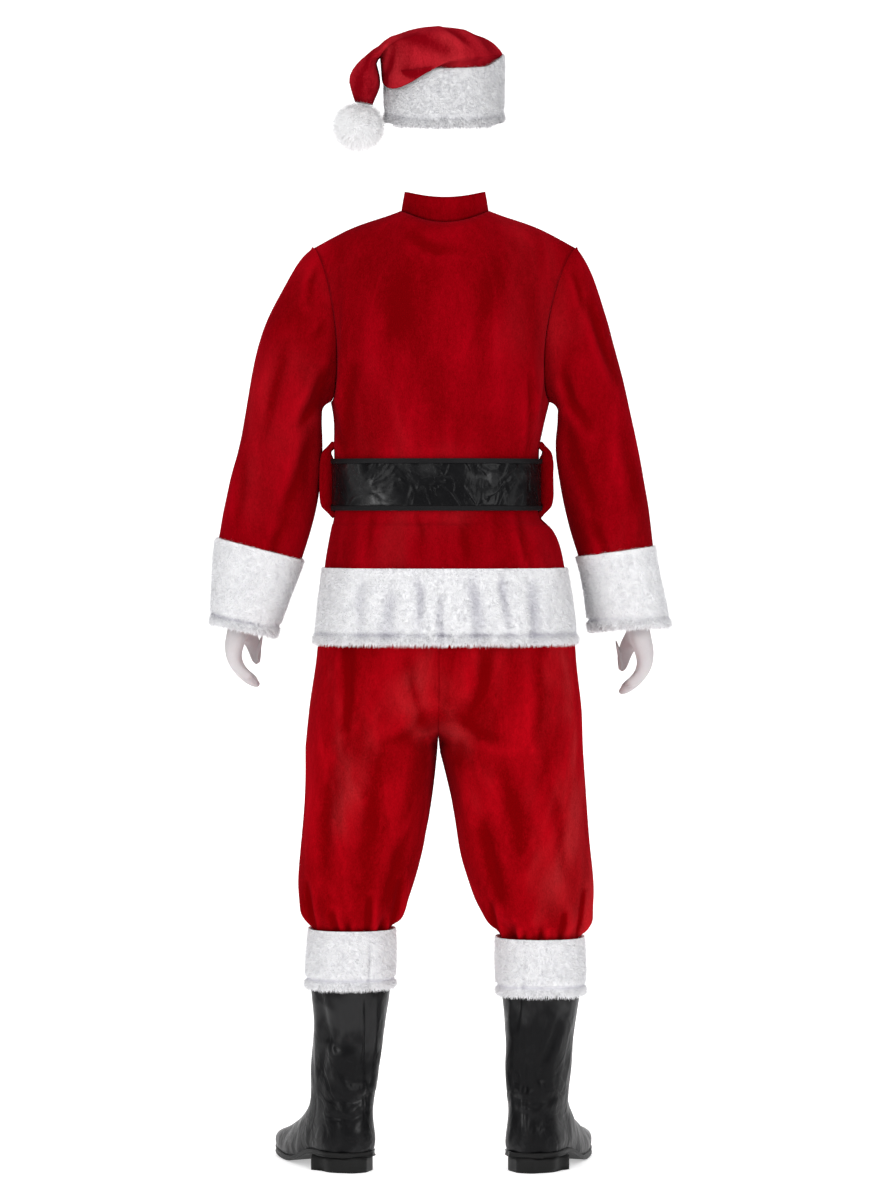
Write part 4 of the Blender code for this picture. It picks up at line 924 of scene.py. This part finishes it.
# %% Dress the simple pieces
Simple = namedtuple("Simple", "node finish levels swell side_swell round_sides")
SIMPLE = [Simple("belt_loop_left", RED, 3, 0.0030, 0.0, False),
          Simple("belt_loop_right", RED, 3, 0.0030, 0.0, False),
          Simple("belt_binding_upper", TAPE, 2, 0.0003, 0.0, False),
          Simple("belt_binding_lower", TAPE, 2, 0.0003, 0.0, False)]
for side in ("left", "right"):
    SIMPLE += [Simple("sole_" + side, RUBBER, 2, 0.0, -0.0028, True),
               Simple("heel_" + side, RUBBER, 2, 0.0, 0.0008, True)]
LOOP_UNEVEN = (0.012, 0.4, 9.0)
for row in SIMPLE:
    piece = smooth_cloth(row.node, row.levels, row.finish, row.round_sides)
    spots = corners(piece.data)
    normals = normals_of(piece.data)
    uneven = 1.0 + billow(spots, *LOOP_UNEVEN) if row.finish is RED else np.ones(len(spots))
    spots += normals * (row.swell * uneven)[:, None] + normals * (1.0, 1.0, 0.0) * row.side_swell
    if row.finish is RED:
        fill_loop(spots, normals)
        tuck_ends(spots)
    if row.finish is TAPE:
        spots += full_sides(spots, outward(spots, BODY))
    move_corners(piece.data, spots)
    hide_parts(row.node)
    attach(piece, "root")
    pieces[row.node] = piece
print("simple pieces:", len(SIMPLE))

# %% [markdown]
# ## White trims under their pile
#
# A trim's solid is as thick as its fluff. The cloth itself lies lower, so its outer face is drawn
# in by the length that the tufts will stand above it. Near the open edge a row of stitching holds
# the pile down, which is a shallow groove.

# %% Folds of the hem band and seams of the boot tops
HEM_CREASES = drawn([
    (BACK, (136, 982), (140, 940), (137, 876), 15, 3.4),
    (BACK, (90, 970), (94, 930), (100, 876), 17, 3),
    (BACK, (48, 984), (40, 950), (43, 900), 12, 3.8),
    (BACK, (6, 960), (10, 920), (6, 876), 8.5, 3.6),
    (BACK, (-40, 984), (-52, 945), (-56, 880), 16, 3.6),
    (BACK, (-92, 984), (-96, 960), (-110, 890), 10.5, 3.8),
    (BACK, (-142, 980), (-148, 930), (-150, 876), 13, 3.4),
    (FRONT, (64, 984), (70, 940), (68, 876), 13, 3.6),
    (FRONT, (126, 980), (130, 930), (134, 876), 15, 3.6),
    (FRONT, (-80, 984), (-78, 945), (-84, 890), 12, 3.6),
    (FRONT, (-124, 970), (-130, 930), (-134, 876), 15, 3.4),
])
TOP_SEAMS = {
    "boot_top_left": drawn([(BACK, (126, 402), (124, 355), (126, 310), 2.4, 3)]),
    "boot_top_right": drawn([(BACK, (-127, 383), (-129, 340), (-126, 297), 2.4, 3)]),
}
print("folds in the hem band:", len(HEM_CREASES))

# %% The trims, one row each
Trim = namedtuple("Trim", "node levels line groove")
TRIMS = [
    Trim("hem_back", 3, BODY, 0.0150), Trim("hem_front_left", 3, BODY, 0.0150),
    Trim("hem_front_right", 3, BODY, 0.0150), Trim("hat_band", 3, HEAD[:2], 0.0150),
    Trim("front_band", 2, BODY, 0.0), Trim("hat_pompom", 3, POMPOM, 0.0),
]
for side in ("left", "right"):
    TRIMS.append(Trim("cuff_" + side, 3, ARM[side], 0.0150))
    TRIMS.append(Trim("boot_top_" + side, 3, LEG[side][1:] + SHIN[side][:1], 0.0110))
FINISH_OF = {"hat_band": WHITE_BAND_SHADED, "hat_pompom": WHITE_BALL_LIT}
print("trims:", len(TRIMS))

# %% Stitching near the open edge
SLICE = 6.0
GROOVE_WIDTH, GROOVE_DEPTH = 0.0026, 0.0032
EDGE_FLUFF, STITCH_HOLD = 0.60, 0.80


def from_lower_edge(spots, out):
    """How far each point is above the piece's lower edge, found from the edge's own points."""
    heights = spots[:, 2]
    turn = np.round(np.degrees(np.arctan2(out[:, 1], out[:, 0])) / SLICE).astype(int)
    lowest = {key: heights[turn == key].min() for key in set(turn)}
    return heights - np.array([lowest[key] for key in turn])


def stitching(spots, out, groove):
    """How far the stitching presses each point, and how long the pile stands there."""
    if not groove:
        return np.zeros(len(spots)), np.ones(len(spots))
    rise = from_lower_edge(spots, out)
    pressed = np.exp(-((rise - groove) / GROOVE_WIDTH) ** 2)
    return pressed, 1.0 + EDGE_FLUFF * (rise < groove) - STITCH_HOLD * pressed


# %% Dress the trims
OUTER_FACE = 0.05
PILE_SINK, BALL_SINK = 0.0030, 0.0050
PILE_SWELL, PILE_RIPPLE = (0.030, 0.0011, 4.0), (0.012, 0.0006, 7.0)
PILE_FOLD, FOLD_SHADE_LIMIT, FOLD_RIDGE_LIMIT = 0.0048, -1.5, 1.0
BAND_TOP, BAND_EASE, BAND_EASE_SIDE = (1.790, 1.824), 0.0020, (0.066, 0.090)
BAND_RISE, BAND_RISE_SIDE = 0.013, (0.066, 0.102)


def pile_cloth(trim):
    """A trim's cloth, sunk under its pile, with the length that the pile has at each point."""
    piece = smooth_cloth(trim.node, trim.levels, FINISH_OF.get(trim.node, WHITE))
    spots = corners(piece.data)
    out = outward(spots, trim.line)
    outer = np.einsum("ij,ij->i", normals_of(piece.data), out) > OUTER_FACE
    pressed, held = stitching(spots, out, trim.groove)
    folds = np.zeros(len(spots))
    for crease in HEM_CREASES if trim.node.startswith("hem") else TOP_SEAMS.get(trim.node, ()):
        folds += crease_depth(spots, out, crease)
    sink = BALL_SINK if trim.node == "hat_pompom" else PILE_SINK
    push = billow(spots, *PILE_SWELL) + billow(spots, *PILE_RIPPLE) + folds
    push -= outer * (sink + GROOVE_DEPTH * pressed)
    if trim.node == "hat_band":
        top = step(*BAND_TOP, spots[:, 2] - GROUND)
        push += BAND_EASE * top * step(*BAND_EASE_SIDE, -spots[:, 0])
        spots[:, 2] += BAND_RISE * top * step(*BAND_RISE_SIDE, -spots[:, 0])
    move_corners(piece.data, spots + out * push[:, None])
    if trim.node == "front_band":
        held *= 1.0 - under_belt(spots)
    store(piece.data, "pile", held * outer)
    # Painted shade: the troughs of folds and the stitching line are stored darker, for the white finish.
    store(piece.data, "fold_shading", np.clip(folds / PILE_FOLD - pressed, FOLD_SHADE_LIMIT, FOLD_RIDGE_LIMIT))
    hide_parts(trim.node)
    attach(piece, "root")
    return piece


for trim in TRIMS:
    pieces[trim.node] = pile_cloth(trim)
print("trim faces:", sum(len(pieces[trim.node].data.polygons) for trim in TRIMS))

# %% [markdown]
# ## Tufts
#
# Long pile reads as fluff because its outline breaks up. Each tuft is one thin pointed leaf, which
# takes a single triangle. Geometry nodes scatter them over the outer face of a trim, tip them the way
# the pile falls and join them into one mesh. The attribute called "pile" keeps them off the lining
# and short along the stitching.

# %% A tuft and the way it leans
class Scatter(Network):
    """A geometry node tree, filled in the same way as a finish."""

    def __init__(self, name):
        super().__init__(bpy.data.node_groups.new(name, "GeometryNodeTree"))
        for way in ("INPUT", "OUTPUT"):
            self.tree.interface.new_socket("Geometry", in_out=way, socket_type="NodeSocketGeometry")
        self.start = self.add("NodeGroupInput")
        self.end = self.tree.nodes.new("NodeGroupOutput").inputs[0]

    def vector(self, operation, first, second):
        return self.add("ShaderNodeVectorMath", {"operation": operation}, {0: first, 1: second})


STRAY, CLUMP_SCALE, CLUMP_PULL = 0.7, 80.0, 1.9


def tuft_leaf(scatter, length, width):
    """One leaf: a triangle standing on its base, as tall as the pile is long."""
    leaf = scatter.add("GeometryNodeMeshCircle", {"fill_type": "NGON"}, {"Vertices": 3, "Radius": 1.0})
    return scatter.add("GeometryNodeTransform", None, {
        "Geometry": leaf, "Translation": (0.0, 0.0, length / 3), "Rotation": (0.0, -math.pi / 2, 0.0),
        "Scale": (length * 2 / 3, width * 2 / math.sqrt(3), 1.0)})


def tuft_turn(scatter, normal, fall, seed):
    """Each leaf strays on its own, leans with its clump and falls a little."""
    stray = scatter.add("FunctionNodeRandomValue", {"data_type": "FLOAT_VECTOR"}, {
        0: (-STRAY, -STRAY, -STRAY), 1: (STRAY, STRAY, STRAY), "Seed": seed})
    clump = scatter.add("ShaderNodeTexNoise", None, {"Scale": CLUMP_SCALE, "Detail": 1.0}, 1)
    pull = scatter.add("ShaderNodeVectorMath", {"operation": "SCALE"}, {
        0: scatter.vector("SUBTRACT", clump, (0.5, 0.5, 0.5)), "Scale": CLUMP_PULL})
    together = scatter.vector("ADD", scatter.vector("ADD", normal, stray), pull)
    fallen = scatter.vector("ADD", together, (0.0, 0.0, -fall))
    return scatter.add("FunctionNodeAlignRotationToVector", {"axis": "Z"}, {"Vector": fallen})


# %% Scatter tufts over a trim
LEAST_PILE = 0.2
SHORTEST, TALLEST = 0.6, 1.25


def tuft_scatter(name, finish, density, length, width, fall, seed):
    scatter = Scatter(name)
    pile = scatter.add("GeometryNodeInputNamedAttribute", {"data_type": "FLOAT"}, {"Name": "pile"})
    shown = scatter.add("FunctionNodeCompare", {"operation": "GREATER_THAN"}, {0: pile, 1: LEAST_PILE})
    spread = scatter.add("GeometryNodeDistributePointsOnFaces", {"distribute_method": "RANDOM"}, {
        "Mesh": scatter.start, "Selection": shown, "Density": density, "Seed": seed})
    normal = Wire(scatter, spread.socket.node.outputs["Normal"])
    size = scatter.add("FunctionNodeRandomValue", {"data_type": "FLOAT"}, {
        2: SHORTEST, 3: TALLEST, "Seed": seed + 2}, 1)
    placed = scatter.add("GeometryNodeInstanceOnPoints", None, {
        "Points": spread, "Instance": tuft_leaf(scatter, length, width),
        "Rotation": tuft_turn(scatter, normal, fall, seed + 1), "Scale": size * pile})
    joined = scatter.add("GeometryNodeRealizeInstances", None, {"Geometry": placed})
    painted = scatter.add("GeometryNodeSetMaterial", None, {"Geometry": joined, "Material": finish})
    scatter.fill(scatter.end, painted)
    return scatter.tree


# %% Grow the tufts
Pile = namedtuple("Pile", "node length fall seed density", defaults=(560000,))
BLADE = 0.00055
PILES = [Pile("hem_back", 0.0052, 0.55, 11), Pile("hem_front_left", 0.0052, 0.55, 12),
         Pile("hem_front_right", 0.0052, 0.55, 13), Pile("cuff_left", 0.0050, 0.50, 14),
         Pile("cuff_right", 0.0050, 0.50, 15), Pile("boot_top_left", 0.0052, 0.50, 16),
         Pile("boot_top_right", 0.0052, 0.50, 17), Pile("hat_band", 0.0046, 0.40, 18),
         Pile("front_band", 0.0050, 0.50, 19), Pile("hat_pompom", 0.0120, 0.10, 20, 900000)]
for row in PILES:
    growth = into_scene(row.node + "_pile", pieces[row.node].data)
    grow = growth.modifiers.new("Tufts", "NODES")
    grow.node_group = tuft_scatter(row.node + "_scatter", FINISH_OF.get(row.node, WHITE), row.density,
                                   row.length, BLADE, row.fall, row.seed)
    growth.data = applied(growth)
    growth.modifiers.clear()
    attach(growth, "root")
    pieces[row.node + "_pile"] = growth
    print(growth.name, len(growth.data.polygons), "faces")

# %% [markdown]
# ## Buckle
#
# The buckle is the shape it should be already. It keeps its solid and only takes a finish.

# %% Finish the buckle
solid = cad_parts["buckle"].data
solid.materials.clear()
solid.materials.append(METAL)
print("buckle:", METAL.name)

# %% [markdown]
# ## Cut sizes
#
# The flat size of what shows is worked out for every stretch of cloth that hangs or is held round
# the body, all round where it is a tube. That is half the area of the wall's two faces, divided by the
# piece's height, or by the tape's width for the belt's bindings.

TAPE_WIDE = 0.010
NOT_SHEETS = ("sole", "heel", "hat_pompom")


def half_area(piece):
    return sum(face.area for face in piece.data.polygons) / 2


sheets = [node for node in pieces if not node.endswith("_pile") and not node.startswith(NOT_SHEETS)]
for node in sheets:
    piece = pieces[node]
    low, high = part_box(node)
    length = TAPE_WIDE if node.startswith("belt_binding") else high.z - low.z
    half_area(piece) / length
    "stretched" if node == "belt_strap" else "hung"
print("sheets declared:", len(sheets))

# %% [markdown]
# ## Floor, light and camera
#
# The suit stands on a white sweep. A soft light on each side of the camera and one overhead give the
# plush its even glow and the coated fabric its long streaks, and a fourth lights the suit's far side.
# The sweep is clear from behind and a white shell stands far outside, so that the suit can be looked
# at from every side.

# %% Floor and backdrop
SWEEP_BACK, SWEEP_FRONT, SWEEP_HALF, SWEEP_HEIGHT, SWEEP_ROUND = -3.0, 9.0, 7.0, 7.0, 1.4
sweep = bmesh.new()
for corner in bmesh.ops.create_grid(sweep, x_segments=1, y_segments=1, size=1.0)["verts"]:
    corner.co = Vector((corner.co.x * SWEEP_HALF, SWEEP_FRONT if corner.co.y > 0 else SWEEP_BACK, GROUND))
foot = [edge for edge in sweep.edges if all(corner.co.y == SWEEP_BACK for corner in edge.verts)]
raised = bmesh.ops.extrude_edge_only(sweep, edges=foot)["geom"]
raised_corners = [thing for thing in raised if isinstance(thing, bmesh.types.BMVert)]
bmesh.ops.translate(sweep, vec=(0, 0, SWEEP_HEIGHT), verts=raised_corners)
bmesh.ops.bevel(sweep, geom=foot, affect="EDGES", offset=SWEEP_ROUND, segments=24, profile=0.5, material=-1)
sweep_mesh = bpy.data.meshes.new("studio_sweep")
sweep.to_mesh(sweep_mesh)
sweep.free()
sweep_mesh.shade_smooth()
into_scene("studio_sweep", sweep_mesh)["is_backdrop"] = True
print("sweep faces:", len(sweep_mesh.polygons))

# %% Paper that is clear from behind
paper = Finish("studio_paper", Roughness=0.9, Base_Color=(0.93, 0.93, 0.935, 1), Specular_IOR_Level=0.1,
               Emission_Color=(1.0, 1.0, 1.0, 1.0), Emission_Strength=0.45)
behind = paper.add("ShaderNodeNewGeometry", output="Backfacing")
clear = paper.add("ShaderNodeBsdfTransparent")
seen = paper.add("ShaderNodeMixShader", None, {0: behind, 1: Wire(paper, paper.shader.outputs[0]), 2: clear})
paper.fill(paper.tree.nodes["Material Output"].inputs["Surface"], seen)
sweep_mesh.materials.append(paper.material)
print("paper:", paper.material.name)

# %% Far white shell, seen by the camera only
SHELL_REACH = 24.0
ball = bmesh.new()
bmesh.ops.create_icosphere(ball, subdivisions=4, radius=SHELL_REACH)
ball_mesh = bpy.data.meshes.new("far_shell")
ball.to_mesh(ball_mesh)
ball.free()
shell = into_scene("far_shell", ball_mesh)
glow = Finish("shell_white", Base_Color=(0, 0, 0, 1), Specular_IOR_Level=0.0,
              Emission_Color=(1.0, 1.0, 1.0, 1.0), Emission_Strength=1.0)
ball_mesh.materials.append(glow.material)
for ray in ("diffuse", "glossy", "transmission", "volume_scatter", "shadow"):
    setattr(shell, "visible_" + ray, False)
shell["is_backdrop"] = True
print("shell faces:", len(ball_mesh.polygons))


# %% Lights
def soft_light(name, place, aim, width, height, power):
    light = bpy.data.lights.new(name, "AREA")
    light.shape = "RECTANGLE"
    light.size = width
    light.size_y = height
    light.energy = power
    lamp = into_scene(name, light)
    lamp.location = place
    lamp.rotation_euler = (aim - place).to_track_quat("-Z", "Y").to_euler()


CHEST = at(0.0, 1.0)
soft_light("key_right", at(-2.6, 2.0, 3.4), CHEST, 1.4, 2.4, 62)
soft_light("key_left", at(2.6, 2.0, 3.4), CHEST, 1.4, 2.4, 62)
soft_light("over", at(0.0, 3.6, 1.2), CHEST, 3.0, 2.0, 30)
soft_light("front_fill", at(0.0, 1.6, -2.6), CHEST, 2.6, 2.4, 32)
print("lights:", len(bpy.data.lights))

# %% Air
AIR_GLOW = 0.30
world = bpy.data.worlds.new("studio_air")
bpy.context.scene.world = world
world.use_nodes = True
air = world.node_tree.nodes["Background"]
air.inputs["Color"].default_value = (1.0, 1.0, 1.0, 1.0)
air.inputs["Strength"].default_value = AIR_GLOW
bpy.context.scene.view_settings.view_transform = "Standard"

# %% Camera
FRAME_WIDTH, FRAME_HEIGHT = 884, 1200
METRES_PER_PIXEL = 0.00166
FLOOR_ROW, CENTRE_COLUMN = 1168.5, 445
CAMERA_DISTANCE, CAMERA_HEIGHT = 7.6, 1.10
SENSOR = 36.0
view_tall = FRAME_HEIGHT * METRES_PER_PIXEL
middle_height = (FLOOR_ROW - FRAME_HEIGHT / 2) * METRES_PER_PIXEL
middle_x = (CENTRE_COLUMN - FRAME_WIDTH / 2) * METRES_PER_PIXEL
lens = bpy.data.cameras.new("camera")
lens.sensor_width = SENSOR
lens.lens = SENSOR * CAMERA_DISTANCE / view_tall
lens.shift_y = (middle_height - CAMERA_HEIGHT) / view_tall
camera = into_scene("camera", lens)
camera.location = at(middle_x, CAMERA_HEIGHT, CAMERA_DISTANCE)
camera.rotation_euler = (math.radians(90), 0.0, math.radians(180))
bpy.context.scene.camera = camera
print("lens, mm:", round(lens.lens, 1), "shift:", round(lens.shift_y, 4))

# %% Finish
low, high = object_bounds()
faces = [face for piece in pieces.values() for face in piece.data.polygons]
print("triangles:", sum(len(face.vertices) - 2 for face in faces))
